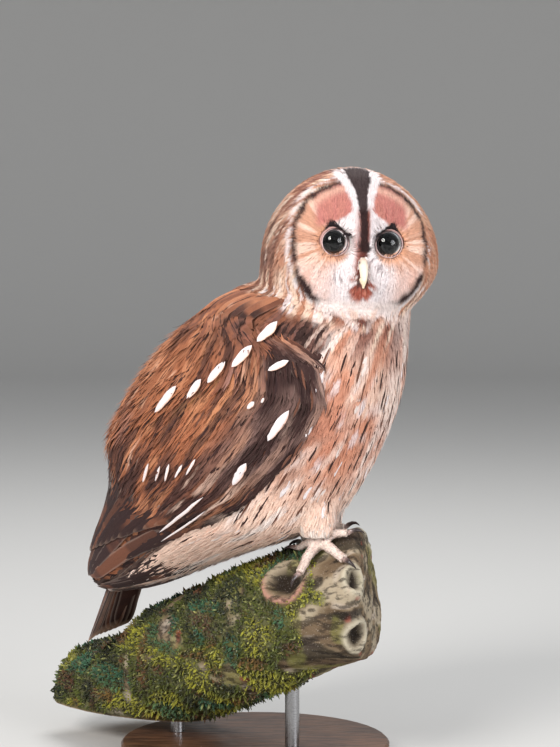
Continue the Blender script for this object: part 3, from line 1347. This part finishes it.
BODY_MIDDLE = SPINE_FOOT + UP * 0.225
HEAD_SIDE = (HEAD_CENTRE, HEAD_UP, HEAD_AHEAD)
TRUNK_SIDE = (BODY_MIDDLE, UP, FORWARD)
BACK_STREAK = 0.10                 # half widths of the dark streaks on back and wings
COVERT_STREAK = 0.14
STREAKED = 0.80                    # vanes whose random number is above this have a dark streak


def coat(name, wanted, spacing, length, half_width, flow, colour_of, round_axis=TRUNK_SIDE,
         stations=6, sink=0.004, lift=0.0006, tip=0.50, root=0.40, thickness=0.00016,
         wild=0.16, slot="plumage", surface=form, droop=0.04, vary=0.10, streak=0.0):
    """A piece of coat: feathers over the wanted faces, coloured by where they lie."""
    roots = surface.scatter(wanted, spacing)
    count = len(roots)
    chance = rng.random(count)
    long = length * (0.80 + 0.40 * rng.random(count))
    wide = half_width * (0.80 + 0.40 * rng.random(count))
    twist = (rng.random(count) - 0.5) * wild

    def ruffled(points):
        way = unit(flow(points))
        return way + np.cross(way, UP) * twist[:, None]

    high = lift * (0.3 + 1.4 * rng.random(count))
    paths, ups = walk(surface, roots, ruffled, long, stations, sink, high)
    share = np.linspace(0.0, 1.0, stations)
    outline = frayed(vane_outline(share, tip, root), 0.16, count)
    tint = painted(colour_of, paths, chance, vary)
    bars = rng.random(count)[:, None] * np.array((0.0, 0.0, 0.12))
    mesh = sewn(name, paths, ups, wide, thickness, outline, droop, tint, patches(roots, *round_axis),
                streak * (chance > STREAKED), bars)
    place_piece(name, mesh, coat_material, slot)


coat("feathers_face", in_disc & ~near_eye & ~near_bill, 0.00095, 0.0066, 0.00050, face_flow, head_colours,
     HEAD_SIDE, stations=4, sink=0.0012, lift=0.0005, wild=0.20, thickness=0.00008)
coat("feathers_head", lies_in(owner, "head") & ~in_disc, 0.0018, 0.0110, 0.00115, head_flow, head_colours,
     HEAD_SIDE, stations=5, sink=0.0018, lift=0.0005, tip=0.35, wild=0.25, thickness=0.00010)
coat("feathers_neck", lies_in(owner, "neck"), 0.0020, 0.0140, 0.0013, head_flow, head_colours,
     HEAD_SIDE, stations=5, sink=0.0022, lift=0.0005, tip=0.35, wild=0.25, thickness=0.00010)
BRISTLES = 150


def bristles():
    """Fine bristles that spread from between the eyes over the bill's base."""
    stations = 7
    share = np.linspace(0.0, 1.0, stations)[None, :]
    sign = np.where(np.arange(BRISTLES) % 2, 1.0, -1.0)[:, None]
    start = rng.random((BRISTLES, 1))
    spread = rng.random((BRISTLES, 1))
    long = 0.75 + 0.5 * rng.random((BRISTLES, 1))
    a = sign * (0.4 + 3.4 * start + (1.6 + 6.5 * spread) * long * share)
    u = 8.0 - 7.0 * start - (10.5 - 3.0 * spread) * long * share
    f = 47.4 + 5.2 * share * np.exp(-(a / 5.0) ** 2) - 0.10 * np.abs(a) - 3.5 * share ** 2 * spread
    paths = head_points(a * MM, f * MM, u * MM)
    ups = np.broadcast_to(unit(HEAD_AHEAD - HEAD_UP * 0.25), paths.shape)
    chance = rng.random(BRISTLES)
    tint = paint(WHITE, (0.20, 0.13, 0.13), (chance > 0.84) * 0.8)
    mesh = sewn("bristles", paths, ups, np.full(BRISTLES, 0.00034), 0.00012,
                vane_outline(share, 0.15, 0.7), 0.0, tint, patches(paths[:, 0], *HEAD_SIDE))
    place_piece("bristles", mesh, coat_material, "plumage")


bristles()


def brow_flow(points):
    """The wedge's feathers run along its upper edge, down towards the bill."""
    a, _, _ = head_place(points)
    return HEAD_ACROSS * np.sign(a)[:, None] * -0.81 - HEAD_UP * 0.585


face_side = np.abs(face_a)
in_wedge = (face_u < wedge_top(face_side) - 0.1235) & (face_u < wedge_end(face_side) - 0.2)
in_wedge &= in_disc & (from_eye(face_a, face_u) > 8.7) & (face_u > 16.6) & (face_side > 10.5)
coat("feathers_brows", in_wedge, 0.00060, 0.0026, 0.00055, brow_flow, brow_colours,
     HEAD_SIDE, stations=5, sink=-0.0004, lift=0.0006, tip=0.30, wild=0.08, thickness=0.00008)
breast = on_trunk & (np.abs(face_angle) < 112.0)
PALE = "pale_plumage"
coat("feathers_breast", breast & (face_place < 2.6), 0.0044, 0.0270, 0.0040, body_flow, torso_colours,
     stations=7, sink=0.0026, lift=0.0005, tip=0.30, slot=PALE)
coat("feathers_belly", breast & (face_place >= 2.3), 0.0042, 0.0260, 0.0037, body_flow, breast_colours,
     stations=7, sink=0.0026, lift=0.0006, tip=0.30, slot=PALE)
coat("locks_breast", breast & (face_place < 2.9), 0.0030, 0.0200, 0.0012, body_flow, torso_colours,
     stations=5, sink=0.0010, lift=0.0008, tip=0.25, vary=0.08, slot=PALE)
coat("locks_belly", breast & (face_place >= 2.6), 0.0028, 0.0200, 0.0011, body_flow, breast_colours,
     stations=5, sink=0.0010, lift=0.0014, tip=0.25, wild=0.26, vary=0.08, slot=PALE)
below_chin = breast & (face_place > 0.2) & (face_place < 4.4)
coat("dashes_breast", below_chin, 0.0140, 0.0165, 0.00080, body_flow, dash_colours,
     stations=6, sink=-0.0005, lift=0.0013, tip=0.30, root=0.15, slot=PALE)
coat("flecks_breast", below_chin & (face_place < 4.2), 0.0270, 0.0140, 0.0019, body_flow, fleck_colours,
     stations=6, sink=-0.0004, lift=0.0012, tip=0.30, root=0.20, slot=PALE)
coat("feathers_back", on_trunk & (np.abs(face_angle) >= 108.0), 0.0040, 0.0230, 0.0038, body_flow,
     back_colours, stations=7, sink=0.0026, lift=0.0005, tip=0.35, streak=BACK_STREAK)
coat("feathers_legs", lies_in(owner, *LEGS), 0.0015, 0.0100, 0.0007, leg_flow, leg_colours,
     stations=5, sink=0.0016, lift=0.0006, tip=0.25, wild=0.30, thickness=0.00010, slot=PALE)
coat("feathers_toes", foot_form.areas > 0.0, 0.0019, 0.0032, 0.00040, toe_flow, toe_colours,
     stations=4, sink=0.0002, lift=0.00002, slot="toe_skin", surface=foot_form, droop=0.05,
     thickness=0.00005)


# ---- wing feathers

def wing_row(name, sign, tips, count, length, half_width, lift, sink, kind, pale_edge):
    """A row of vanes whose tips stand along a curve of (place, share) points."""
    curve = np.array(tips)
    spots = np.linspace(0.0, 1.0, count) + (rng.random(count) - 0.5) * 0.35 / count
    spots = np.clip(spots, 0.0, 1.0)
    run = np.linspace(0.0, 1.0, len(curve))
    place = np.interp(spots, run, curve[:, 0]) + (rng.random(count) - 0.5) * 0.04
    share = np.interp(spots, run, curve[:, 1])
    ends, _ = form.at(place, sign * wing_angle(place, share))
    long = np.interp(spots, (0.0, 1.0), length) * (0.95 + 0.10 * rng.random(count))
    wide = np.interp(spots, (0.0, 1.0), half_width) * (0.93 + 0.14 * rng.random(count))
    colour_of, streak, stations, narrowing, fray, step, material, touch = KINDS[kind]
    backwards, ups = walk(form, ends, lambda points: -wing_flow(points), long, stations, 0.0, 0.0)
    paths = backwards[:, ::-1]
    ups = ups[:, ::-1]
    steps = np.linspace(0.0, 1.0, stations)
    height = lift - sink * (1.0 - steps) ** 1.3
    paths = paths + ups * (height[None, :] + (step * np.arange(count))[:, None])[..., None]
    chance = rng.random(count)
    outline = frayed(vane_outline(steps, narrowing, 0.55), fray, count)
    unwrap = patches(paths[:, int(0.8 * (stations - 1))], *TRUNK_SIDE)
    mesh = sewn(name, paths, ups, wide, 0.00022, outline, 0.08, painted(colour_of, paths, chance, 0.12),
                unwrap, streak * (chance > STREAKED), (0.0, 0.0, pale_edge), 7, touch)
    place_piece(name, mesh, material, "flight_feathers")


def pale_tips(strength, start=0.90):
    def touch(tint, along, over):
        end = ramp(start, 0.99, along) * strength
        return tint + (np.array(TAN) - tint) * end[None, :, None]
    return touch


# Kinds of wing feather: colours, dark streak, stations along, where the tip starts to narrow,
# fraying, step up from each feather to the next one, material and paler tips.
KINDS = {
    "flight": (flight_colours, 0.0, 26, 0.55, 0.03, 0.00022, flight_material, pale_tips(0.15)),
    "covert": (covert_colours, COVERT_STREAK, 16, 0.30, 0.12, 0.0, coat_material, None),
    "back": (back_colours, BACK_STREAK, 16, 0.30, 0.12, 0.0, coat_material, None),
}

# Rows of the wing from its long feathers up to the shoulder: name, curve of tips as (place,
# share), count, length and half width at both ends, height of the tips, depth of the roots,
# kind and strength of the pale edge.
WING_ROWS = (
    ("primaries", ((4.90, 0.00), (5.50, 0.02), (6.1, 0.06), (6.6, 0.14), (7.0, 0.34)), 16,
     (0.085, 0.110), (0.0042, 0.0052), 0.0000, 0.0030, "flight", 0.16),
    ("secondaries", ((4.6, 0.05), (5.3, 0.18), (6.0, 0.36), (6.5, 0.60), (6.7, 0.95)), 20,
     (0.075, 0.100), (0.0040, 0.0050), 0.0006, 0.0028, "flight", 0.14),
    ("tertials", ((3.6, 0.08), (4.1, 0.22), (4.8, 0.40), (5.4, 0.62), (5.7, 0.92)), 22,
     (0.055, 0.080), (0.0036, 0.0046), 0.0010, 0.0028, "flight", 0.10),
    ("greater_2", ((2.90, 0.02), (2.95, 0.14), (3.15, 0.28), (3.35, 0.45), (3.6, 0.62), (3.9, 0.90)), 24,
     (0.042, 0.050), (0.0036, 0.0046), 0.0012, 0.0026, "covert", 0.10),
    ("greater_1", ((2.35, 0.00), (2.40, 0.12), (2.62, 0.28), (2.80, 0.42), (3.0, 0.60), (3.2, 0.85)), 24,
     (0.038, 0.044), (0.0034, 0.0044), 0.0015, 0.0026, "covert", 0.08),
    ("median_2", ((1.95, 0.00), (1.95, 0.12), (2.05, 0.26), (2.15, 0.40), (2.3, 0.56)), 20,
     (0.032, 0.038), (0.0032, 0.0040), 0.0017, 0.0024, "covert", 0.06),
    ("median_1", ((1.55, 0.00), (1.53, 0.12), (1.60, 0.26), (1.70, 0.40), (1.9, 0.52)), 19,
     (0.030, 0.034), (0.0031, 0.0038), 0.0018, 0.0024, "covert", 0.06),
    ("lesser_3", ((1.18, 0.00), (1.16, 0.12), (1.16, 0.24), (1.24, 0.42)), 17,
     (0.028, 0.030), (0.0030, 0.0034), 0.0019, 0.0024, "covert", 0.10),
    ("lesser_2", ((0.82, 0.00), (0.80, 0.12), (0.80, 0.24), (0.86, 0.38)), 15,
     (0.024, 0.024), (0.0028, 0.0032), 0.0019, 0.0022, "covert", 0.10),
    ("lesser_1", ((0.52, 0.02), (0.48, 0.14), (0.46, 0.26), (0.52, 0.38)), 13,
     (0.020, 0.022), (0.0028, 0.0030), 0.0018, 0.0022, "covert", 0.10),
    ("scapulars_5", ((0.20, 0.16), (0.70, 0.33), (1.07, 0.44), (1.43, 0.51), (1.80, 0.60), (2.35, 0.70),
                     (2.72, 0.80), (2.78, 0.98)), 32,
     (0.036, 0.056), (0.0036, 0.0048), 0.0034, 0.0034, "back", 0.05),
    ("scapulars_4", ((0.18, 0.24), (0.60, 0.41), (0.95, 0.51), (1.30, 0.58), (1.75, 0.66), (2.20, 0.76),
                     (2.45, 0.98)), 30,
     (0.034, 0.052), (0.0036, 0.0046), 0.0036, 0.0032, "back", 0.05),
    ("scapulars_3", ((0.14, 0.34), (0.50, 0.51), (0.85, 0.61), (1.25, 0.68), (1.65, 0.77), (1.95, 0.88),
                     (2.05, 1.02)), 27,
     (0.032, 0.048), (0.0034, 0.0044), 0.0035, 0.0030, "back", 0.05),
    ("scapulars_2", ((0.10, 0.46), (0.42, 0.62), (0.80, 0.72), (1.20, 0.80), (1.50, 0.90), (1.60, 1.04)), 23,
     (0.030, 0.044), (0.0034, 0.0042), 0.0032, 0.0028, "back", 0.05),
    ("scapulars_1", ((0.06, 0.60), (0.30, 0.76), (0.62, 0.86), (0.95, 0.95), (1.15, 1.06)), 20,
     (0.028, 0.038), (0.0034, 0.0040), 0.0026, 0.0026, "back", 0.05),
)

# White drops on the wing: place and degrees from the belly at both ends, and half width.
WING_DROPS = (
    (-0.07, 81.3, 0.38, 84.5, 0.0032), (0.46, 85.7, 0.90, 88.7, 0.0031),
    (0.85, 93.2, 1.24, 95.7, 0.0028), (1.22, 99.8, 1.57, 101.3, 0.0026),
    (1.47, 110.1, 1.97, 114.2, 0.0031), (0.54, 65.3, 0.77, 72.5, 0.0022),
    (1.27, 55.6, 1.78, 57.8, 0.0030), (1.28, 71.3, 1.41, 72.5, 0.0016),
    (1.19, 68.2, 1.27, 68.1, 0.0009), (2.20, 61.5, 2.62, 62.7, 0.0028),
    (2.74, 107.1, 3.11, 107.7, 0.0012), (2.71, 100.3, 2.97, 100.2, 0.0010),
    (2.62, 95.9, 2.91, 94.7, 0.0011), (2.55, 89.4, 2.80, 90.3, 0.0010),
    (2.39, 84.2, 2.70, 85.2, 0.0010), (2.95, 72.5, 4.30, 86.5, 0.0012),
    (3.30, 69.0, 4.50, 81.0, 0.0008),
)


def wing_drops(name, sign):
    """White webs that show at the feathers' tips, each a vane of its own with a warm lower edge."""
    place, angle, end_place, end_angle, half_width = np.array(WING_DROPS).T
    count, stations = len(place), 10
    starts, _ = form.at(place, sign * angle)
    ends, _ = form.at(end_place, sign * end_angle)
    steps = np.linspace(0.0, 1.0, stations)
    paths = starts[:, None] + (ends - starts)[:, None] * steps[None, :, None]
    paths, ups = (found.reshape(count, stations, 3) for found in form.nearest(paths.reshape(-1, 3)))
    on_border = (angle > 78.0) & (place < 2.0)
    raised = np.where(on_border, 0.0052, 0.0036)
    paths = paths + ups * raised[:, None, None]
    outline = frayed(vane_outline(steps, 0.40, 0.10), 0.14, count)
    rng.random(count)              # these draws are left unused

    def warm_edge(tint, along, over):
        edge = ramp(0.55, 1.0, -over * sign) * 0.8
        return tint + (np.array(APRICOT) - tint) * edge[None, :, None]

    mesh = sewn(name, paths, ups, half_width, 0.0003, outline, 0.10,
                plain(WHITE, count), patches(paths[:, 5], *TRUNK_SIDE), across=5, touch=warm_edge)
    place_piece(name, mesh, coat_material, "flight_feathers")


def dress_wing(side_name, sign):
    """A wing's rows from its long feathers up, its white drops, and the small feathers between."""
    for row, *measures in WING_ROWS:
        wing_row(f"wing_{side_name}_{row}", sign, *measures)
    wing_drops(f"wing_{side_name}_drops", sign)
    on_this_wing = lies_in(owner, "wing_" + side_name)
    share = wing_share(face_place, face_angle)
    upper = (share > shoulder_border(face_place)) & (face_place < 2.75)
    lower = on_this_wing & ~upper
    upper = on_this_wing & upper
    under = dict(slot="flight_feathers", sink=0.0024, lift=0.0004, tip=0.35, stations=6)
    lock = dict(slot="flight_feathers", tip=0.25, vary=0.18, stations=5)
    # Name, faces, spacing, length, half width, colours, sink, lift and further settings.
    for key, wanted, spacing, length, half_width, colour_of, more in (
            ("under_{}_shoulder", upper, 0.0042, 0.0260, 0.0040, back_colours,
             dict(under, streak=BACK_STREAK)),
            ("under_{}_wing", lower, 0.0042, 0.0240, 0.0038, covert_colours,
             dict(under, streak=COVERT_STREAK)),
            ("locks_{}_shoulder", upper, 0.0032, 0.0220, 0.0011, back_colours,
             dict(lock, sink=-0.0028, lift=0.0042, streak=BACK_STREAK)),
            ("locks_{}_wing", lower & (face_place < 3.6), 0.0032, 0.0210, 0.0010, covert_colours,
             dict(lock, sink=-0.0014, lift=0.0026, streak=COVERT_STREAK)),
            ("dashes_{}_shoulder", upper & (face_place > 0.3), 0.0100, 0.0175, 0.00095, dash_colours,
             dict(lock, sink=-0.0036, lift=0.0048, root=0.15)),
            ("dashes_{}_wing", lower & (face_place < 3.2), 0.0115, 0.0150, 0.00085, dash_colours,
             dict(lock, sink=-0.0022, lift=0.0034, root=0.15))):
        coat(key.format(side_name), wanted, spacing, length, half_width, wing_flow, colour_of, **more)


for side_name, sign in SIDES:
    dress_wing(side_name, sign)


# ---- tail

TAIL_ROOT = SPINE_FOOT + FORWARD * -0.1040 + UP * 0.1500
TAIL_TIP = SPINE_FOOT + FORWARD * -0.1330 + UP * 0.0770
TAIL_HALF_WIDTH = (0.0190, 0.0310)
TAIL_ARCH = 0.0075
TAIL_ROUNDING = 0.0060
TAIL_ROLL = math.radians(7.0)
TAIL_COUNT = 12
TAIL_BARS = (7.0, 0.35, 0.30)      # their number, their strength and the pale edge's strength


def tail_feathers():
    """Twelve barred feathers, the middle pair on top."""
    along = unit(TAIL_TIP - TAIL_ROOT)
    length = np.linalg.norm(TAIL_TIP - TAIL_ROOT)
    out = unit(np.cross(RIGHT, along))
    if out @ FORWARD > 0:
        out = -out
    across = RIGHT * math.cos(TAIL_ROLL) - UP * math.sin(TAIL_ROLL)
    stations = 24
    share = np.linspace(-0.12, 1.0, stations)
    paths = np.empty((TAIL_COUNT, stations, 3))
    ups = np.empty_like(paths)
    for number in range(TAIL_COUNT):
        ratio = (number - (TAIL_COUNT - 1) / 2) / (TAIL_COUNT / 2)
        level = 0.0016 - 0.0035 * abs(ratio)
        half = TAIL_HALF_WIDTH[0] + (TAIL_HALF_WIDTH[1] - TAIL_HALF_WIDTH[0]) * share
        run = length * share - TAIL_ROUNDING * ratio ** 2 * np.clip(share, 0.0, 1.0) ** 2
        inward = 0.74 * ratio
        paths[number] = (TAIL_ROOT + along * run[:, None] + across * (half * inward)[:, None]
                         + out * (level - TAIL_ARCH * inward ** 2))
        ups[number] = unit(out + across * (0.5 * ratio))
    chance = rng.random(TAIL_COUNT)
    tint = paint((0.055, 0.025, 0.022), (0.26, 0.10, 0.06), ramp(0.55, 0.85, chance) * 0.8)
    steps = np.linspace(0.0, 1.0, stations)
    outline = frayed(vane_outline(steps, 0.84, 0.7), 0.05, TAIL_COUNT)
    mesh = sewn("tail_feathers", paths, ups, np.full(TAIL_COUNT, 0.0085), 0.0004, outline, 0.14, tint,
                patches(paths[:, -3], *TRUNK_SIDE), 0.0, TAIL_BARS, 7, pale_tips(0.9, 0.93))
    place_piece("tail_feathers", mesh, flight_material, "flight_feathers", "tail")


tail_feathers()


# ---- branch and moss

# Knots: place, half width, height over width, and how hollow they are.
KNOTS = (
    (0.0778, -0.0258, 0.1596, 0.0105, 1.0, 0.15),
    (0.0672, -0.0826, 0.1399, 0.0062, 1.5, 1.0),
    (0.0687, -0.0810, 0.1009, 0.0068, 1.5, 1.0),
    (0.0202, -0.0653, 0.1372, 0.0155, 1.0, 1.0),
)
KNOT_RIM = 0.0024
KNOT_DEPTH = 0.0065


def knot_reach(points, knot, rough=0.0):
    """Distance from a knot's middle, as a share of its half width there."""
    x, y, z, radius, tall, _ = knot
    offset = points - np.array((x, y, z))
    across = np.hypot(offset[:, 0], offset[:, 1])
    return np.hypot(across, offset[:, 2] / tall) / radius * (1.0 + rough * (grain(points, 0.006, 26) - 0.5))


def moss_amount(points, normals):
    """How thickly moss grows: patches on the older two thirds, most on the upper side."""
    patch = 0.60 * grain(points, 0.0220, 21) + 0.40 * grain(points, 0.0090, 22)
    older = ramp(0.075, 0.015, points[:, 0] + 0.10 * np.maximum(0.12 - points[:, 2], 0.0))
    upper = 0.75 + 0.25 * np.clip(normals[:, 2], -1.0, 1.0)
    amount = ramp(0.30, 0.46, patch * (0.55 + 0.55 * upper) * (0.25 + 0.95 * older))
    for knot in KNOTS:
        amount = amount * ramp(1.0, 1.3, knot_reach(points, knot))
    return amount


def bark():
    """The branch with ridged bark, knots and their collars."""
    mesh = remeshed(joined(("perch_log",)), 0.0014, 3)
    points = mesh_points(mesh)
    normals = mesh_normals(mesh)
    underside = ramp(0.0216, 0.0245, points[:, 2])
    # The bark's lines run along the branch and bend round its knots.
    warped = points.copy()
    for knot in KNOTS:
        near = hump(knot_reach(points, knot) - 0.6, 1.3)
        warped -= (points - np.array(knot[:3])) * (0.75 * near)[:, None]
    stretched = warped * np.array((0.22, 1.0, 0.90))
    ridges = grain(stretched, 0.0050, 23) - 0.5
    plates = grain(points * np.array((0.5, 1.0, 1.0)), 0.0100, 24) - 0.5
    grit = grain(points, 0.0022, 25) - 0.5
    moss = moss_amount(points, normals)
    rise = (0.0020 * ridges + 0.0022 * plates + 0.0007 * grit) * (1.0 - 0.3 * moss) + 0.0006 * moss
    dark, pale, warm, brown = np.zeros((4, len(points)))
    for knot in KNOTS:
        z, radius, hollow = knot[2], knot[3], knot[5]
        away = knot_reach(points, knot, 0.25)
        hole = ramp(0.92, 0.55, away)
        collar = hump((away - 1.08) * radius, KNOT_RIM)
        rise += KNOT_RIM * 0.8 * collar - KNOT_DEPTH * hole * hollow * min(1.0, radius / 0.009)
        dark = np.maximum(dark, hole * (hollow > 0.5))
        brown = np.maximum(brown, hole * (hollow < 0.5))
        pale = np.maximum(pale, collar * (radius < 0.0120))
        warm = np.maximum(warm, collar * (radius >= 0.0120) * ramp(z + 0.004, z - 0.008, points[:, 2]))
    move_points(mesh, points + normals * (rise * underside)[:, None])
    points = mesh_points(mesh)

    tone = grain(stretched, 0.0120, 27)
    flow = grain(stretched, 0.0065, 33)
    sawn = ramp(0.0235, 0.0222, points[:, 2])
    tint = paint(
        (0.25, 0.185, 0.115),
        (0.42, 0.35, 0.25), ramp(0.52, 0.70, tone) * 0.8,
        (0.13, 0.085, 0.050), ramp(0.50, 0.34, tone) * 0.8,
        (0.045, 0.035, 0.024), ramp(0.40, 0.28, flow) * 0.9,
        (0.50, 0.42, 0.34), ramp(0.72, 0.82, flow) * 0.7,
        (0.22, 0.21, 0.06), ramp(0.58, 0.72, grain(points, 0.0140, 28)) * 0.6,
        (0.05, 0.036, 0.028), ramp(-0.16, -0.34, ridges) * 0.85,
        (0.26, 0.055, 0.035), ramp(0.80, 0.87, grain(points, 0.0080, 29)) * 0.8,
        (0.56, 0.50, 0.38), pale * 0.85,
        (0.50, 0.25, 0.19), warm * 0.85,
        (0.16, 0.095, 0.045), brown * 0.9,
        (0.36, 0.32, 0.12), brown * ramp(0.62, 0.74, flow) * 0.8,
        (0.022, 0.015, 0.010), dark,
        (0.070, 0.080, 0.018), moss * 0.85,
        (0.42, 0.29, 0.17), sawn)
    set_tint(mesh, tint)
    return mesh


log_mesh = bark()
log_form = Form(log_mesh)
place_piece("bark", log_mesh, bark_material(), "bark", "perch_log")


def moss_piece(name, seed_share, spacing, length, half_width):
    """Moss leaflets that stand up and lean, in cushions."""
    growth = moss_amount(log_form.middles, log_form.normals[log_form.triangles].mean(axis=1))
    wanted = (growth > seed_share) & (log_form.middles[:, 2] > 0.026)
    roots = log_form.scatter(wanted, spacing)
    points, normals = log_form.nearest(roots)
    count = len(points)
    amount = moss_amount(points, normals)
    lean = unit(rng.normal(size=(count, 3)))
    stations = 4
    share = np.linspace(0.0, 1.0, stations)
    long = length * (0.4 + 0.9 * rng.random(count)) * (0.45 + 0.55 * amount)
    way = unit(normals + lean * 0.75 + UP * 0.25)
    bend = unit(rng.normal(size=(count, 3))) - UP * 0.5
    paths = (points - normals * 0.0004)[:, None] + way[:, None] * (long[:, None] * share)[..., None]
    paths = paths + bend[:, None] * (long[:, None] * 0.30 * share ** 2)[..., None]
    ups = np.broadcast_to(tangential(normals, way)[:, None], paths.shape)
    kind = grain(points, 0.0200, 31)
    tint = paint(
        (0.095, 0.110, 0.018),
        (0.340, 0.320, 0.035), ramp(0.54, 0.64, kind) * 0.9,
        (0.028, 0.034, 0.012), ramp(0.44, 0.34, kind),
        (0.045, 0.140, 0.075), ramp(0.64, 0.72, grain(points, 0.0180, 34)) * 0.85,
        (0.150, 0.055, 0.025), ramp(0.72, 0.80, grain(points, 0.0130, 35)) * 0.8,
        (0.420, 0.420, 0.140), (rng.random(count) > 0.92) * 0.6)
    tint = tint * (0.75 + 0.50 * rng.random(count))[:, None]
    tint = tint[:, None] * (0.60 + 0.70 * share)[None, :, None]
    rng.random(count)              # these draws are left unused
    width = half_width * (0.7 + 0.6 * rng.random(count))
    mesh = sewn(name, paths, ups, width, width * 0.5, vane_outline(share, 0.35, 0.8), 0.1, tint,
                patches(points, LOG_MIDDLE, UP, np.array((1.0, 0.0, 0.0))))
    place_piece(name, mesh, moss_shade, "bark")


LOG_MIDDLE = np.mean(log_form.points, axis=0)
moss_shade = moss_material()
moss_piece("moss_low", 0.25, 0.00225, 0.0030, 0.00080)
moss_piece("moss_high", 0.80, 0.00265, 0.0042, 0.00078)


# ---- stand, floor, light, camera

steel = steel_material()
for name, shade in (("stand_base", wood_material()), ("stand_rod_1", steel), ("stand_rod_2", steel)):
    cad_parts[name].material_slots[0].material = shade


def floor():
    """A pale studio floor that curves up into a backdrop all round."""
    flat, bend, height, columns = 3.4, 1.0, 2.6, 72
    curve = math.pi / 2 * np.arange(1, 11) / 10
    reach = np.concatenate(([0.0, flat * 0.3, flat], flat + bend * np.sin(curve), [flat + bend]))
    rise = np.concatenate(([0.0] * 3, bend - bend * np.cos(curve), [height]))
    turn = 2 * math.pi * np.arange(columns) / columns
    points = np.stack((reach[:, None] * np.cos(turn), reach[:, None] * np.sin(turn),
                       rise[:, None] - 0.0001 + 0.0 * turn), axis=-1).reshape(-1, 3)
    mesh = build_mesh("floor", points, ring_quads(np.arange(len(points)).reshape(-1, columns)))
    shade = Nodes("floor", 0.85)
    shade.shader.inputs["Base Color"].default_value = (0.56, 0.555, 0.54, 1.0)
    mesh.materials.append(shade.material)
    made = add_object("floor", mesh)
    made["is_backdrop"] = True


def lamp(name, spot, aim, size, power, colour):
    data = bpy.data.lights.new(name, "AREA")
    data.shape = "DISK"
    data.size = size
    data.energy = power
    data.color = colour
    made = add_object(name, data)
    made.location = spot
    made.rotation_euler = (Vector(aim) - Vector(spot)).to_track_quat("-Z", "Y").to_euler()


floor()
LOOK_AT = (0.02, -0.02, 0.24)
lamp("key", (-1.0, -1.6, 1.3), LOOK_AT, 0.9, 44.0, (1.0, 0.975, 0.95))
lamp("fill", (1.4, -1.5, 0.7), LOOK_AT, 1.2, 24.0, (0.95, 0.97, 1.0))
lamp("top", (0.1, 0.9, 1.7), LOOK_AT, 1.0, 20.0, (1.0, 1.0, 1.0))
world = bpy.data.worlds.new("studio")
world.use_nodes = True
sky = world.node_tree.nodes["Background"].inputs
sky["Color"].default_value = (0.78, 0.80, 0.84, 1.0)
sky["Strength"].default_value = 0.50
bpy.context.scene.world = world
bpy.context.scene.view_settings.view_transform = "Standard"

CAMERA_DISTANCE = 1.8
CAMERA_RISE = math.radians(4.5)
FRAME_HEIGHT = 0.5229
CAMERA_TARGET = Vector((0.0175, 0.0, 0.27195))
towards = Vector((0.0, math.cos(CAMERA_RISE), -math.sin(CAMERA_RISE)))
lens = bpy.data.cameras.new("camera")
lens.sensor_fit = "VERTICAL"
lens.sensor_height = 36.0
lens.lens = 36.0 * CAMERA_DISTANCE / FRAME_HEIGHT
lens.clip_end = 50.0
camera = add_object("camera", lens)
camera.location = CAMERA_TARGET - towards * CAMERA_DISTANCE
camera.rotation_euler = towards.to_track_quat("-Z", "Y").to_euler()
bpy.context.scene.camera = camera

[[list(map(float, corner)) for corner in box] for box in (cad_box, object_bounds())]
